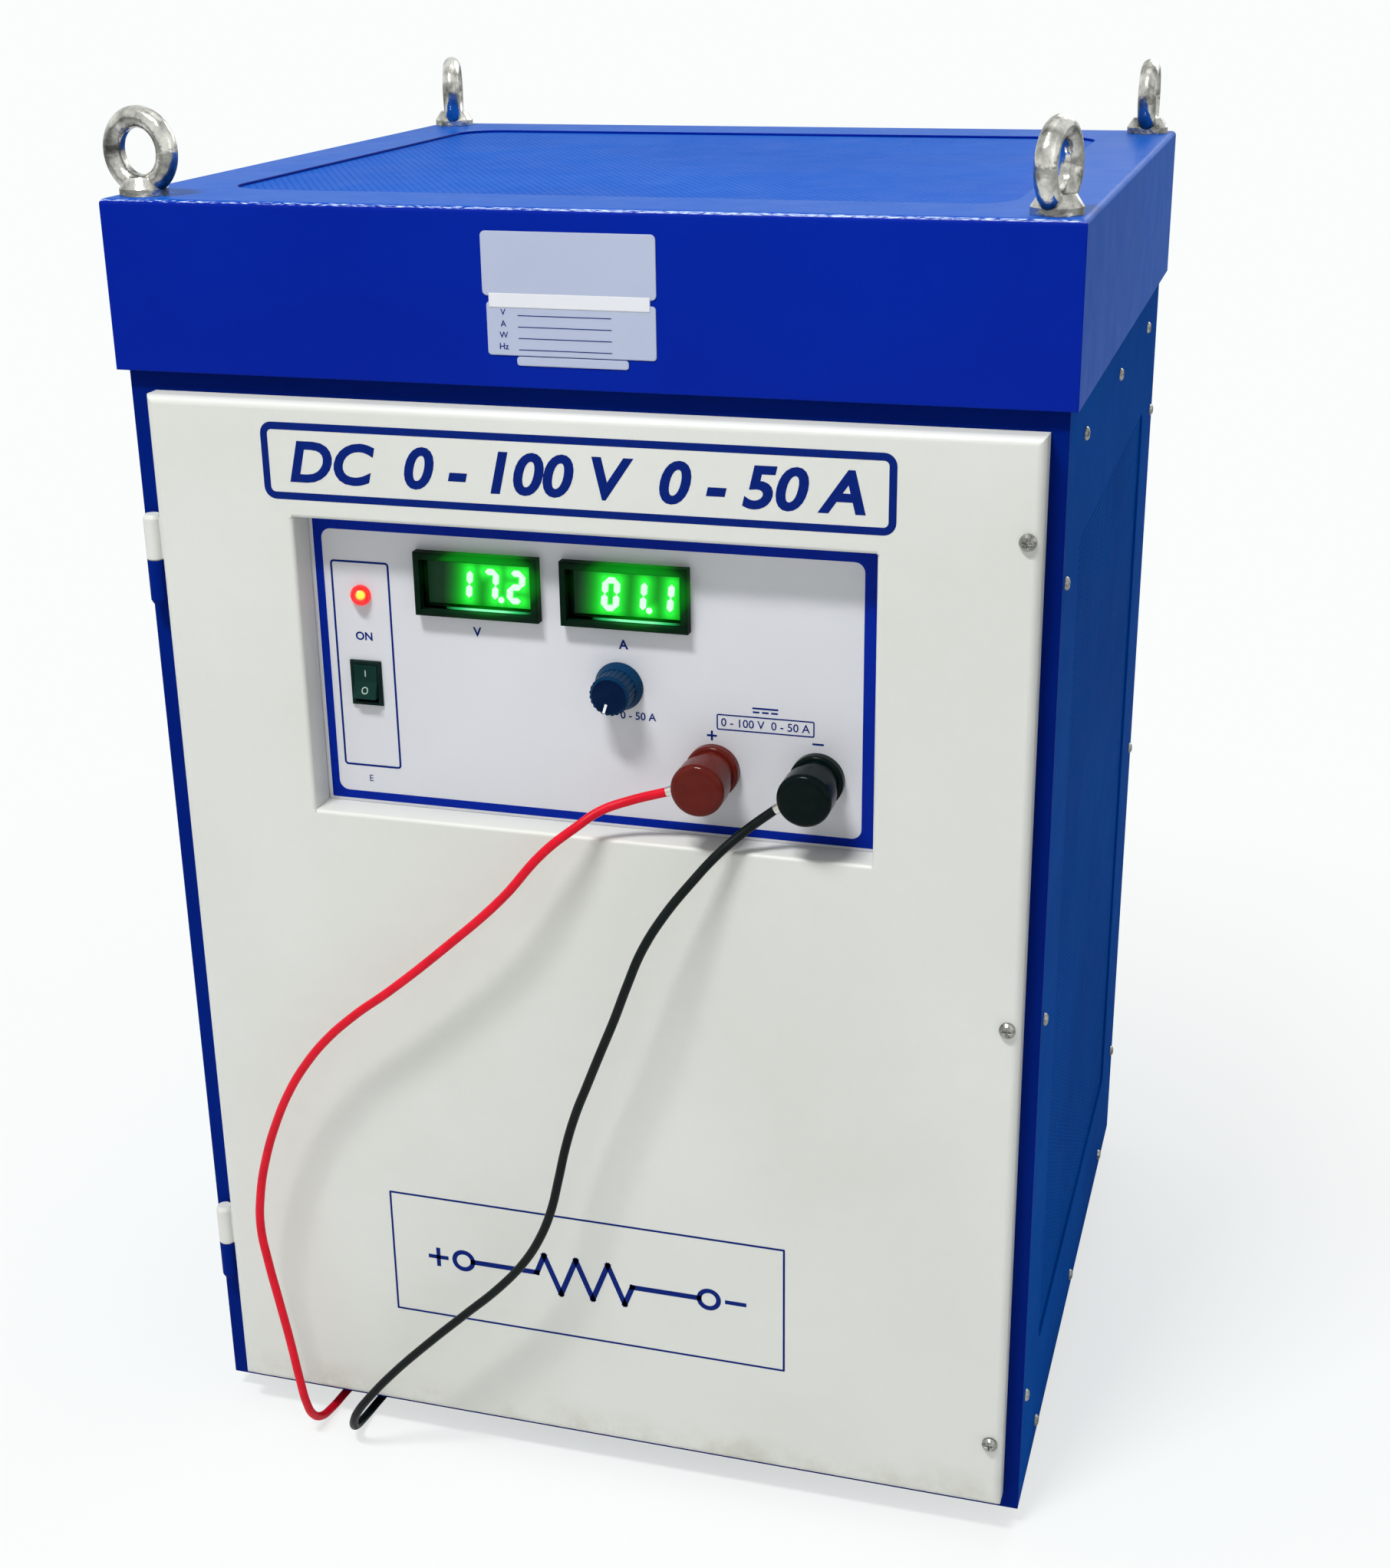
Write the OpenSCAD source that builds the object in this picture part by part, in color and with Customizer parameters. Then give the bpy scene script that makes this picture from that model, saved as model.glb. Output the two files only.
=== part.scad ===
// Floor-standing DC electronic load: a sheet-steel cabinet with a folded door, a ventilated hood,
// a control panel behind the door's window, two screw terminals and the leads that hang from them.
// Millimetres, +Z up, the front faces -Y, origin on the floor under the middle of the cabinet.

/* [Cabinet body] */
// Width over the side panels
body_w = 688; // [640:1:760]
// Depth from the front surround to the rear panel
body_d = 624; // [580:1:700]
// Height from the base plate's underside to the underside of the hood's top plate
body_h = 1001; // [960:1:1100]
// Thickness of the sheet steel in the panels and the hood
sheet = 2; // [1.5:0.1:3]
// Side of the square frame tubes
tube = 30; // [28:1:34]
// Wall of the square frame tubes
tube_wall = 2.5; // [2:0.1:3]
// Thickness of the base plate
base_t = 3; // [2:0.5:5]
// How far the body panels run up inside the hood
panel_lap = 20; // [10:1:40]

/* [Feet] */
// Height of the base plate over the floor
foot_h = 16; // [14:1:24]
// Diameter of a foot's pad
foot_d = 40; // [30:1:50]
// Diameter of a foot's threaded stud
foot_stud_d = 10; // [8:1:12]
// Distance of a foot's axis from the body's sides
foot_inset = 45; // [40:1:60]

/* [Hood] */
// Height of the hood
hood_h = 122; // [100:1:140]
// Overhang of the hood past each side panel
hood_side = 6; // [4:0.5:10]
// Overhang of the hood past the front and the rear
hood_front = 8; // [5:0.5:12]
// Outer bend radius of the hood's top edges
hood_bend = 4; // [3:0.5:6]
// Margin between the top vent and the hood's sides
vent_margin_x = 59; // [54:1:90]
// Margin between the top vent and the hood's front and rear
vent_margin_y = 72; // [66:1:100]
// Corner radius of the top vent
vent_corner = 35; // [10:1:50]
// Thickness of the perforated sheets
vent_t = 1.5; // [1:0.1:2]
// How far a perforated sheet laps behind its window
vent_lap = 14; // [8:1:18]

/* [Lifting eyes] */
// Thread diameter
eye_thread_d = 16; // [12:1:20]
// Length of the threaded shank
eye_thread_len = 27; // [20:1:32]
// Outer diameter of the ring
eye_ring_d = 63; // [54:1:70]
// Thickness of the ring's bar
eye_bar_d = 15.5; // [12:0.5:17]
// Width of the flat land inside the ring
eye_land = 4; // [2:0.5:6]
// Height of the ring's top over the hood
eye_h = 62; // [56:1:70]
// Diameter of the collar
eye_collar_d = 35; // [30:1:40]
// Height of the collar
eye_collar_h = 13; // [8:0.5:14]

/* [Side panels] */
// Distance of a side window from the body's front and rear
side_window_inset = 87; // [70:1:120]
// Height of a side window's lower edge over the base plate's underside
side_window_low = 98; // [80:1:140]
// Distance of a side window's upper edge below the hood's lower edge
side_window_drop = 110; // [90:1:150]
// Corner radius of a side window
side_window_corner = 12; // [4:1:20]
// Distance of the top rails' centre line below the hood's lower edge
rail_drop = 35; // [30:1:45]
// Pitch of the panel screws along the rails
screw_pitch = 220; // [150:1:240]
// Height of the lowest screw in a post over the base plate's underside
screw_low = 97; // [80:1:120]
// Distance of the highest screw in a post below the hood's lower edge
screw_drop = 122; // [100:1:140]
// Thread diameter of the panel screws
screw_d = 5; // [4:0.5:6]

/* [Door] */
// Frame strip left open on the hinge side of the door
strip_hinge = 21; // [19:0.5:24]
// Frame strip left open on the screw side of the door
strip_lock = 12; // [8:0.5:16]
// Gap between the door's top edge and the hood
strip_top = 15; // [10:0.5:20]
// Height of the door's lower edge over the base plate's underside
door_lift = 14.5; // [10:0.5:25]
// Thickness of the folded door
door_t = 19; // [17:0.5:22]
// Gap between the door and the front surround
door_gap = 1; // [0.5:0.1:2]
// Sheet thickness of the door
door_skin = 1.6; // [1.2:0.1:2]
// Outer bend radius of the door's front edges
door_bend = 6; // [4:0.5:8]
// Width of the lip folded in along the door's back
door_lip = 16; // [14:1:24]
// Width of the window in the door
window_w = 433.5; // [410:0.5:450]
// Height of the window in the door
window_h = 229; // [215:0.5:245]
// Distance of the window's lower edge below the door's upper edge
window_low = 314; // [300:1:340]
// Bend radius around the window
window_bend = 3; // [2:0.5:3]
// Gap between the window's folded edges and the control panel
window_gap = 1; // [0.5:0.1:2]
// Thread diameter of the door screws
door_screw_d = 6; // [5:0.5:6]
// Distance of the door screws from the door's edge
door_screw_inset = 9.5; // [9:0.5:11]
// Height of the lowest door screw over the door's lower edge
door_screw_low = 59; // [50:1:80]
// Distance of the highest door screw below the door's upper edge
door_screw_drop = 70; // [50:1:80]
// Height of the stiffener over the door's lower edge
stiffener_z = 290; // [200:1:360]

/* [Hinges] */
// Outer diameter of a knuckle
hinge_d = 14; // [12:0.5:15]
// Length of a knuckle
hinge_len = 34; // [28:1:40]
// Diameter of the hinge pin
hinge_pin_d = 8; // [6:0.5:8]
// Distance of the hinge axis from the body's side
hinge_inset = 10.5; // [9:0.5:11]
// Distance of the hinge axis in front of the surround
hinge_out = 8; // [7.8:0.1:9]
// Distance of the upper hinge's joint below the door's upper edge
hinge_high = 127; // [80:1:190]
// Height of the lower hinge's joint over the base plate's underside
hinge_low = 140; // [100:1:200]
// Thickness of the washer between two knuckles
hinge_washer = 1; // [0.5:0.1:2]

/* [Control panel] */
// Thickness of the control panel
panel_t = 3; // [2:0.5:4]
// Distance of the control panel behind the surround's face
panel_setback = 6; // [5:0.5:9]
// How far the control panel laps past the window's sides
panel_side = 24.5; // [24:0.5:30]
// How far the control panel laps past the window's top and bottom
panel_cover = 18.5; // [12:0.5:24]
// Distance of the rack screws from the control panel's ends
rack_inset = 9; // [8:0.5:10]
// Depth of the chassis behind the control panel
chassis_d = 260; // [220:1:300]
// Sheet thickness of the chassis
chassis_t = 1.5; // [1:0.1:2]

/* [Meters] */
// Width of a meter's bezel
meter_w = 96; // [90:1:100]
// Height of a meter's bezel
meter_h = 48; // [44:1:52]
// How far a meter's bezel stands out
meter_out = 9; // [8:0.5:12]
// Depth of a meter's body behind the bezel
meter_depth = 70; // [40:1:90]
// Distance between the two meters' centres
meter_pitch = 113; // [106:1:120]
// Distance of the meters' centres below the window's upper edge
meter_drop = 49; // [44:0.5:56]
// Offset of the pair of meters from the window's centre
meter_shift = -27.5; // [-32:0.5:-24]

/* [Lamp, switch and knob] */
// Distance of lamp and switch from the window's left edge
switch_inset = 38.5; // [34:0.5:44]
// Distance of the lamp below the window's upper edge
lamp_drop = 63; // [56:0.5:68]
// Diameter of the lamp's lens
lamp_d = 12.8; // [10:0.1:14]
// Distance of the switch below the window's upper edge
switch_drop = 131.5; // [125:0.5:140]
// Width of the switch's bezel
switch_w = 25; // [24:0.5:28]
// Height of the switch's bezel
switch_h = 35; // [34.5:0.5:38]
// Angle that the rocker travels from one stop to the other
rocker_travel = 24; // [18:1:24]
// Offset of the knob from the window's centre
knob_shift = 22; // [14:0.5:26]
// Distance of the knob below the window's upper edge
knob_drop = 118; // [112:0.5:124]
// Diameter of the knob's skirt
knob_d = 37; // [34:0.5:40]
// Diameter of the knob's grip
knob_grip_d = 30; // [27:0.5:31]
// Length of the knob
knob_len = 24; // [20:0.5:28]
// Diameter of the potentiometer's shaft
shaft_d = 6; // [5:0.5:6.5]

/* [Terminals] */
// Distance of the black terminal from the window's right edge
post_inset = 46; // [42:0.5:52]
// Distance between the two terminals
post_pitch = 78; // [72:0.5:84]
// Height of the terminals over the window's lower edge
post_rise = 52.5; // [48:0.5:56]
// Diameter of a terminal's flange and cap
post_d = 40; // [36:0.5:42]
// Thickness of the flange
post_flange = 8; // [6:0.5:10]
// Diameter of the body between flange and lug
post_body_d = 34; // [30:0.5:35]
// Length of flange and body together
post_base_len = 21; // [18:0.5:24]
// Length of the cap
post_cap_len = 22.5; // [19:0.5:24]
// Diameter of the stud
stud_d = 10; // [8:0.5:12]
// Thickness of the cable lugs
lug_t = 2; // [1.5:0.1:2.5]
// Thickness of the clamping washer
washer_t = 1.5; // [1:0.1:2]

/* [Leads] */
// Outer diameter of the leads
lead_d = 7; // [6:0.1:7]
// Slope of the red lug below level
red_slope = 22; // [16:1:26]
// Slope of the black lug below level
black_slope = 34; // [30:1:40]

/* [Load section] */
// Width of a heat sink
sink_w = 230; // [200:1:250]
// Height of a heat sink
sink_h = 400; // [320:1:440]
// Thickness of a heat sink's back plate
sink_base = 12; // [8:0.5:16]
// Length of the fins
fin_len = 60; // [40:1:80]
// Thickness of a fin
fin_t = 3; // [2:0.1:4]
// Pitch of the fins
fin_pitch = 11.35; // [9:0.05:16]
// Gap between the two heat sinks
sink_gap = 20; // [10:1:40]
// Width of a bus bar
bus_w = 20; // [15:1:25]
// Thickness of a bus bar
bus_t = 3; // [2:0.5:4]
// Height of the positive bus bar over the heat sinks' foot
bus_high = 280; // [250:1:300]
// Height of the negative bus bar over the heat sinks' foot
bus_low = 140; // [100:1:180]

/* [Fans] */
// Side of a fan's frame
fan_w = 119; // [112:1:125]
// Height of a fan's frame
fan_h = 38; // [30:1:42]
// Diameter of the fan's throat
fan_throat_d = 106; // [100:1:108]
// Diameter of the rotor's hub
fan_hub_d = 44; // [38:1:50]
// Number of blades
fan_blades = 7; // [5:1:9]
// Pitch angle of the blades
fan_pitch = 38; // [30:1:45]
// Distance between the two fans' axes
fan_spacing = 260; // [180:1:320]

/* [Rear connections] */
// Distance of the cable gland from the middle of the rear panel
gland_x = 200; // [160:1:240]
// Height of gland and earth stud over the base plate's underside
gland_z = 84; // [70:1:120]
// Bore of the cable gland
gland_bore = 13; // [10:0.5:14]
// Diameter of the gland's thread
gland_thread_d = 20; // [18:1:22]
// How far the gland stands out behind the rear panel
gland_out = 41; // [34:1:46]
// Distance between gland and earth stud
earth_pitch = 60; // [45:1:80]
// Diameter of the earth stud
earth_d = 8; // [6:0.5:8]
// How far the earth stud stands out behind the rear panel
earth_out = 28; // [22:1:34]

/* [Hidden] */
$fn = 48;

blue = [0.02, 0.13, 0.55];
white = [0.86, 0.86, 0.84];
panel_white = [0.87, 0.87, 0.9];
zinc = [0.72, 0.73, 0.74];
black = [0.06, 0.06, 0.08];
red = [0.5, 0.12, 0.1];
copper = [0.75, 0.42, 0.25];
aluminium = [0.68, 0.7, 0.72];

// Clearances: a shaft in its bore, a screw in its hole, and loose pieces beside each other
run = 0.05;
hole = 0.2;
loose = 0.3;
// Overshoot of a cut past the faces that it opens
cut = 1;

// Levels and planes of the body
base_top = foot_h + base_t;
frame_top = foot_h + body_h;
hood_top = frame_top + sheet;
hood_low = hood_top - hood_h;
panel_top = hood_low + panel_lap;
inner_x = body_w / 2 - sheet;
inner_y = body_d / 2 - sheet;
front = -body_d / 2;
post_x = inner_x - tube / 2;
post_y = inner_y - tube / 2;
low_rail_z = base_top + tube / 2;
high_rail_z = hood_low - rail_drop;
hood_w = body_w + 2 * hood_side;
hood_d = body_d + 2 * hood_front;

// Side windows
side_window_w = body_d - 2 * side_window_inset;
side_window_h = hood_low - side_window_drop - foot_h - side_window_low;
side_window_z = foot_h + side_window_low + side_window_h / 2;

// Heights and places of the panel screws
screw_zs = [foot_h + screw_low, (foot_h + screw_low + hood_low - screw_drop) / 2, hood_low - screw_drop];
screw_rows = [low_rail_z, high_rail_z];
screw_steps = [-screw_pitch, 0, screw_pitch];
screw_len = sheet + tube_wall + 3;

// Door and hinges
door_w = body_w - strip_hinge - strip_lock;
door_x = (strip_hinge - strip_lock) / 2;
door_low = foot_h + door_lift;
door_h = hood_low - strip_top - door_low;
door_z = door_low + door_h / 2;
door_front = front - door_gap - door_t;
hinge_x = -body_w / 2 + hinge_inset;
hinge_y = front - hinge_out;
hinge_zs = [foot_h + hinge_low, door_low + door_h - hinge_high];
door_screw_x = door_x + door_w / 2 - door_screw_inset;
door_screw_len = door_t + door_gap + sheet + tube_wall + 8;
door_screw_ends = [door_low + door_screw_low, door_low + door_h - door_screw_drop];
door_screw_zs = [door_screw_ends[0], (door_screw_ends[0] + door_screw_ends[1]) / 2, door_screw_ends[1]];

// Control panel behind the window
panel_front = front + panel_setback;
panel_back = panel_front + panel_t;
window_x = door_x;
window_foot = door_low + door_h - window_low;
window_z = window_foot + window_h / 2;
window_top = window_foot + window_h;
window_return = panel_front - window_gap - door_front;
panel_w = window_w + 2 * panel_side;
panel_h = window_h + 2 * panel_cover;
upright_w = 30;
upright_t = 2;
rack_x = panel_w / 2 - rack_inset;
rack_drop = 25;
rack_z = panel_h / 2 - rack_drop;
chassis_gap = 2;
chassis_edge = 8;
chassis_w = 2 * (rack_x - upright_w / 2 - chassis_gap);
chassis_h = panel_h - 2 * chassis_edge;
chassis_left = window_x - chassis_w / 2;
chassis_floor = window_z - chassis_h / 2 + chassis_t;

// Transformer and circuit board on the chassis floor
core = [70, 30, 58];
core_foot = 9;
core_foot_t = 2;
winding = 12;
core_side = 105;
core_rear = 70;
board = [150, 110, 1.6];
board_side = 155;
board_front = 120;
pillar_h = 8;
pillar_d = 6;
capacitor = [14, 25];
capacitor_pitch = 22;
relay = [28, 12, 16];
relay_pitch = 34;

meter_z = window_top - meter_drop;
meter_xs = [window_x + meter_shift - meter_pitch / 2, window_x + meter_shift + meter_pitch / 2];
meter_rim = 5;
meter_lens_t = 2;
meter_lens_back = 2;
lamp_x = window_x - window_w / 2 + switch_inset;
lamp_z = window_top - lamp_drop;
switch_z = window_top - switch_drop;
switch_rim = 2.5;
rocker_w = switch_w - 6.6;
rocker_pivot = 3;
knob_x = window_x + knob_shift;
knob_z = window_top - knob_drop;
knob_gap = 1;

// Terminals, from the panel's face outwards
black_x = window_x + window_w / 2 - post_inset;
red_x = black_x - post_pitch;
terminal_z = window_foot + post_rise;
lug_front = post_base_len + lug_t;
cap_back = lug_front + washer_t;
lug_plane = panel_front - post_base_len - lug_t / 2;
bush_d = 28;
bush_t = 6;
nut_t = 8;
bus_front = panel_back + bush_t + nut_t;

// Cable lugs: reach from the hole's centre to the start and the end of the barrel
lug_barrel = post_d / 2 + 1.5;
lug_reach = lug_barrel + 10;
lug_d = 19;

// Load section
sink_front = -60;
sink_foot = base_top + tube;
module_t = 12;
bus_plane = sink_front - module_t - bus_t;
stand_ys = [sink_front + tube / 2, sink_front + sink_base + fin_len - tube / 2];

// Fans in the tray on the top rails
tray_t = 2;
tray_z = high_rail_z + tube / 2;
fan_z = tray_z + tray_t;

// Routes of the leads from lug to lug: down the door, under the base plate and out behind the cabinet
red_route = [
    [40, -331, 600], [20, -339, 593], [5, -349, 583], [-18, -358, 564], [-50, -364, 526],
    [-96, -366, 482], [-146, -366, 438], [-176, -366, 414], [-203, -366, 388], [-222, -366, 364],
    [-237, -366, 340], [-252, -366, 308], [-264, -366, 274], [-272, -366, 240], [-275, -366, 208],
    [-271, -366, 174], [-265, -366, 140], [-258, -366, 100], [-252, -366, 60], [-250, -363, 38],
    [-249, -355, 20], [-248, -342, 9], [-247, -326, 5], [-245, -300, 4], [-235, -200, 4],
    [-225, -80, 4], [-220, 60, 4], [-222, 200, 4], [-225, 310, 4], [-226, 372, 4]
];
black_route = [
    [130, -334, 588], [112, -344, 572], [93, -354, 550], [75, -363, 526], [60, -369, 500],
    [48, -371, 470], [37, -371, 440], [25, -371, 410], [14, -371, 382], [4, -371, 356],
    [-5, -371, 326], [-12, -371, 296], [-19, -371, 268], [-29, -371, 242], [-44, -371, 216],
    [-66, -371, 189], [-96, -371, 159], [-130, -371, 125], [-162, -371, 91], [-186, -371, 62],
    [-201, -368, 40], [-209, -360, 22], [-213, -347, 10], [-214, -330, 5], [-212, -302, 4],
    [-200, -200, 4], [-190, -80, 4], [-184, 60, 4], [-184, 200, 4], [-187, 310, 4], [-188, 372, 4]
];

// Shared shapes

// Outline of a folded sheet: square at the back, round at both front corners
module folded_outline(w, t, r) {
    translate([-w / 2, r]) square([w, t - r]);
    translate([-w / 2 + r, 0]) square([w - 2 * r, t]);
    for (side = [-1, 1]) translate([side * (w / 2 - r), r]) circle(r);
}

// Block with its four front edges bent round: w along X, t along Y from the front, h along Z
module folded_pan(w, t, h, r) {
    intersection() {
        linear_extrude(h, center = true) folded_outline(w, t, r);
        rotate([90, 0, 90]) linear_extrude(w, center = true) mirror([1, -1, 0]) folded_outline(h, t, r);
    }
}

module round_rectangle(w, h, r) {
    square([w - 2 * r, h], center = true);
    square([w, h - 2 * r], center = true);
    for (x = [-1, 1], y = [-1, 1]) translate([x * (w / 2 - r), y * (h / 2 - r)]) circle(r);
}

// Square tube along Z, standing on its end
module square_tube(len) {
    linear_extrude(len) difference() {
        square(tube, center = true);
        square(tube - 2 * tube_wall, center = true);
    }
}

// Screw along Z with its domed head on top of the plane z = 0
module domed_screw(d, len) {
    head_d = 2 * d;
    head_h = 0.6 * d;
    dome_r = (head_d * head_d / 4 + head_h * head_h) / (2 * head_h);
    intersection() {
        cylinder(h = head_h, d = head_d);
        translate([0, 0, head_h - dome_r]) sphere(dome_r);
    }
    translate([0, 0, -len]) cylinder(h = len, d = d - hole);
}

// Cross recess that opens upwards at the plane z = 0
module cross_recess(size, depth) {
    for (turn = [0, 90]) rotate(turn) cube([size, size / 5, 2 * depth], center = true);
}

module hex_nut(d, len, across) {
    difference() {
        cylinder(h = len, d = across / cos(30), $fn = 6);
        translate([0, 0, -cut]) cylinder(h = len + 2 * cut, d = d + 2 * run);
    }
}

// Places its children at every panel screw of one side, with +Z out of that side's panel
module on_side_screws(side) {
    for (y = [-post_y, post_y], z = screw_zs)
        translate([side * body_w / 2, y, z]) rotate([0, side * 90, 0]) children();
    for (y = screw_steps, z = screw_rows)
        translate([side * body_w / 2, y, z]) rotate([0, side * 90, 0]) children();
}

module on_rear_screws() {
    for (x = [-post_x, post_x], z = screw_zs) translate([x, body_d / 2, z]) rotate([-90, 0, 0]) children();
    for (x = screw_steps, z = screw_rows) translate([x, body_d / 2, z]) rotate([-90, 0, 0]) children();
}

module screw_hole() {
    translate([0, 0, -screw_len - cut]) cylinder(h = screw_len + 2 * cut, d = screw_d + hole);
}

module body_screw_holes() {
    for (side = [-1, 1]) on_side_screws(side) screw_hole();
    on_rear_screws() screw_hole();
}

module door_screw_holes() {
    for (z = door_screw_zs) translate([door_screw_x, door_front - cut, z]) rotate([-90, 0, 0])
        cylinder(h = door_screw_len + 4, d = door_screw_d + 1);
}

// Places its children on the panel's face, with +Z out of the panel
module on_panel(x, z) {
    translate([x, panel_front, z]) rotate([90, 0, 0]) children();
}

// Cabinet body

module base_plate() {
    color(blue) difference() {
        translate([-inner_x, -inner_y, foot_h]) cube([2 * inner_x, 2 * inner_y, base_t]);
        on_feet() translate([0, 0, foot_h - cut]) cylinder(h = base_t + 2 * cut, d = foot_stud_d + 2 * hole);
    }
}

module on_feet() {
    for (x = [-1, 1], y = [-1, 1])
        translate([x * (body_w / 2 - foot_inset), y * (body_d / 2 - foot_inset), 0]) children();
}

module levelling_feet() {
    pad_h = 9;
    nut_across = foot_stud_d * 1.7;
    color(black) on_feet() {
        difference() {
            union() {
                cylinder(h = 3, d = foot_d);
                translate([0, 0, 3]) cylinder(h = pad_h - 3, d1 = foot_d, d2 = foot_d * 0.6);
                translate([0, 0, pad_h]) cylinder(h = foot_h - pad_h, d = nut_across / cos(30), $fn = 6);
                cylinder(h = base_top + nut_t + 6, d = foot_stud_d);
            }
            translate([0, 0, -cut]) cylinder(h = cut + 1, d = foot_d * 0.5);
        }
        translate([0, 0, base_top]) hex_nut(foot_stud_d, nut_t, nut_across);
    }
}

module corner_posts() {
    block_len = eye_thread_len + 2;
    block_w = tube - 2 * tube_wall - 0.2;
    color(blue) for (x = [-1, 1], y = [-1, 1]) {
        difference() {
            translate([x * post_x, y * post_y, base_top]) square_tube(frame_top - base_top);
            body_screw_holes();
            door_screw_holes();
        }
        translate([x * post_x, y * post_y, frame_top - block_len]) difference() {
            translate([-block_w / 2, -block_w / 2, 0]) cube([block_w, block_w, block_len]);
            translate([0, 0, -cut]) cylinder(h = block_len + 2 * cut, d = eye_thread_d + 2 * run);
        }
    }
}

module frame_rails() {
    color(blue) difference() {
        for (z = screw_rows) {
            for (y = [-post_y, post_y])
                translate([-post_x + tube / 2, y, z]) rotate([0, 90, 0]) square_tube(2 * post_x - tube);
            for (x = [-post_x, post_x])
                translate([x, post_y - tube / 2, z]) rotate([90, 0, 0]) square_tube(2 * post_y - tube);
        }
        body_screw_holes();
    }
    stand_len = 2 * (post_x - tube / 2 - loose);
    color(blue) for (y = stand_ys)
        translate([-stand_len / 2, y, low_rail_z]) rotate([0, 90, 0]) square_tube(stand_len);
}

module front_surround() {
    open_w = 2 * post_x - tube;
    open_low = low_rail_z + tube / 2;
    open_high = high_rail_z - tube / 2;
    color(blue) difference() {
        translate([-body_w / 2, front, foot_h]) cube([body_w, sheet, panel_top - foot_h]);
        translate([-open_w / 2, front - cut, open_low]) cube([open_w, sheet + 2 * cut, open_high - open_low]);
        door_screw_holes();
    }
}

// Extrudes an outline across the middle of a side window
module across_side_window(depth) {
    translate([0, 0, side_window_z]) rotate([90, 0, 90]) linear_extrude(depth, center = true) children();
}

module side_panel(side) {
    color(blue) difference() {
        translate([side > 0 ? inner_x : -body_w / 2, front + sheet, foot_h])
            cube([sheet, body_d - sheet, panel_top - foot_h]);
        translate([side * (inner_x + sheet / 2), 0, 0]) across_side_window(sheet + 2 * cut)
            round_rectangle(side_window_w, side_window_h, side_window_corner);
        on_side_screws(side) screw_hole();
    }
}

module left_side_panel() { side_panel(-1); }

module right_side_panel() { side_panel(1); }

module side_vent_sheets() {
    color(blue) for (side = [-1, 1])
        translate([side * (inner_x - vent_t / 2), 0, 0]) across_side_window(vent_t)
            square([side_window_w + 2 * vent_lap, side_window_h + 2 * vent_lap], center = true);
}

module rear_panel() {
    color(blue) difference() {
        translate([-inner_x, inner_y, foot_h]) cube([2 * inner_x, sheet, panel_top - foot_h]);
        on_rear_screws() screw_hole();
        on_gland() translate([0, 0, -sheet - cut]) cylinder(h = sheet + 2 * cut, d = gland_thread_d + hole);
        on_earth() translate([0, 0, -sheet - cut]) cylinder(h = sheet + 2 * cut, d = earth_d + hole);
    }
}

module body_screws() {
    color(zinc) {
        for (side = [-1, 1]) on_side_screws(side) domed_screw(screw_d, screw_len);
        on_rear_screws() domed_screw(screw_d, screw_len);
        for (x = [-rack_x, rack_x], z = [-rack_z, rack_z])
            on_panel(window_x + x, window_z + z) domed_screw(screw_d, panel_t + upright_t + 4);
    }
}

// Hood and lifting eyes

module hood() {
    color(blue) difference() {
        translate([0, 0, hood_top]) rotate([-90, 0, 0]) folded_pan(hood_w, hood_h, hood_d, hood_bend);
        translate([0, 0, frame_top]) rotate([-90, 0, 0])
            folded_pan(hood_w - 2 * sheet, hood_h, hood_d - 2 * sheet, max(hood_bend - sheet, 0.5));
        translate([0, 0, frame_top - cut]) linear_extrude(sheet + 2 * cut)
            round_rectangle(hood_w - 2 * vent_margin_x, hood_d - 2 * vent_margin_y, vent_corner);
        for (x = [-post_x, post_x], y = [-post_y, post_y])
            translate([x, y, frame_top - cut]) cylinder(h = sheet + 2 * cut, d = eye_thread_d + 2 * hole);
    }
}

module top_vent_sheet() {
    w = hood_w - 2 * vent_margin_x + 2 * vent_lap;
    d = hood_d - 2 * vent_margin_y + 2 * vent_lap;
    color(blue) translate([-w / 2, -d / 2, frame_top - vent_t]) cube([w, d, vent_t]);
}

// Lifting eye on the hood: ring upright, its plane turned about Z
module eye_bolt(x, y, turn) {
    bar_r = eye_bar_d / 2;
    mid_r = eye_ring_d / 2 - bar_r;
    land_r = mid_r - sqrt(bar_r * bar_r - eye_land * eye_land / 4);
    color(zinc) translate([x * post_x, y * post_y, hood_top]) rotate(turn) {
        intersection() {
            translate([0, 0, eye_h - eye_ring_d / 2]) rotate([90, 0, 0]) rotate_extrude() intersection() {
                translate([mid_r, 0]) circle(bar_r);
                translate([land_r, -bar_r]) square([eye_bar_d, eye_bar_d]);
            }
            translate([-eye_ring_d, -eye_ring_d, 0]) cube([2 * eye_ring_d, 2 * eye_ring_d, 2 * eye_h]);
        }
        cylinder(h = eye_collar_h * 0.4, d = eye_collar_d);
        translate([0, 0, eye_collar_h * 0.4])
            cylinder(h = eye_collar_h * 0.6, d1 = eye_collar_d, d2 = eye_collar_d * 0.7);
        translate([0, 0, -eye_thread_len]) cylinder(h = eye_thread_len, d = eye_thread_d);
    }
}

module eye_bolt_front_left() { eye_bolt(-1, -1, -10); }

module eye_bolt_front_right() { eye_bolt(1, -1, 77); }

module eye_bolt_rear_left() { eye_bolt(-1, 1, 108); }

module eye_bolt_rear_right() { eye_bolt(1, 1, 91); }

// Hinges

// Knuckle from z = 0 upwards, bored from below, rounded off at the closed end
module knuckle() {
    nose = 3;
    difference() {
        union() {
            cylinder(h = hinge_len - nose, d = hinge_d);
            translate([0, 0, hinge_len - nose]) cylinder(h = nose, d1 = hinge_d, d2 = hinge_d - nose);
            children();
        }
        translate([0, 0, -cut]) cylinder(h = hinge_len - nose - 2 + cut, d = hinge_pin_d + 2 * run);
    }
}

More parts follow.
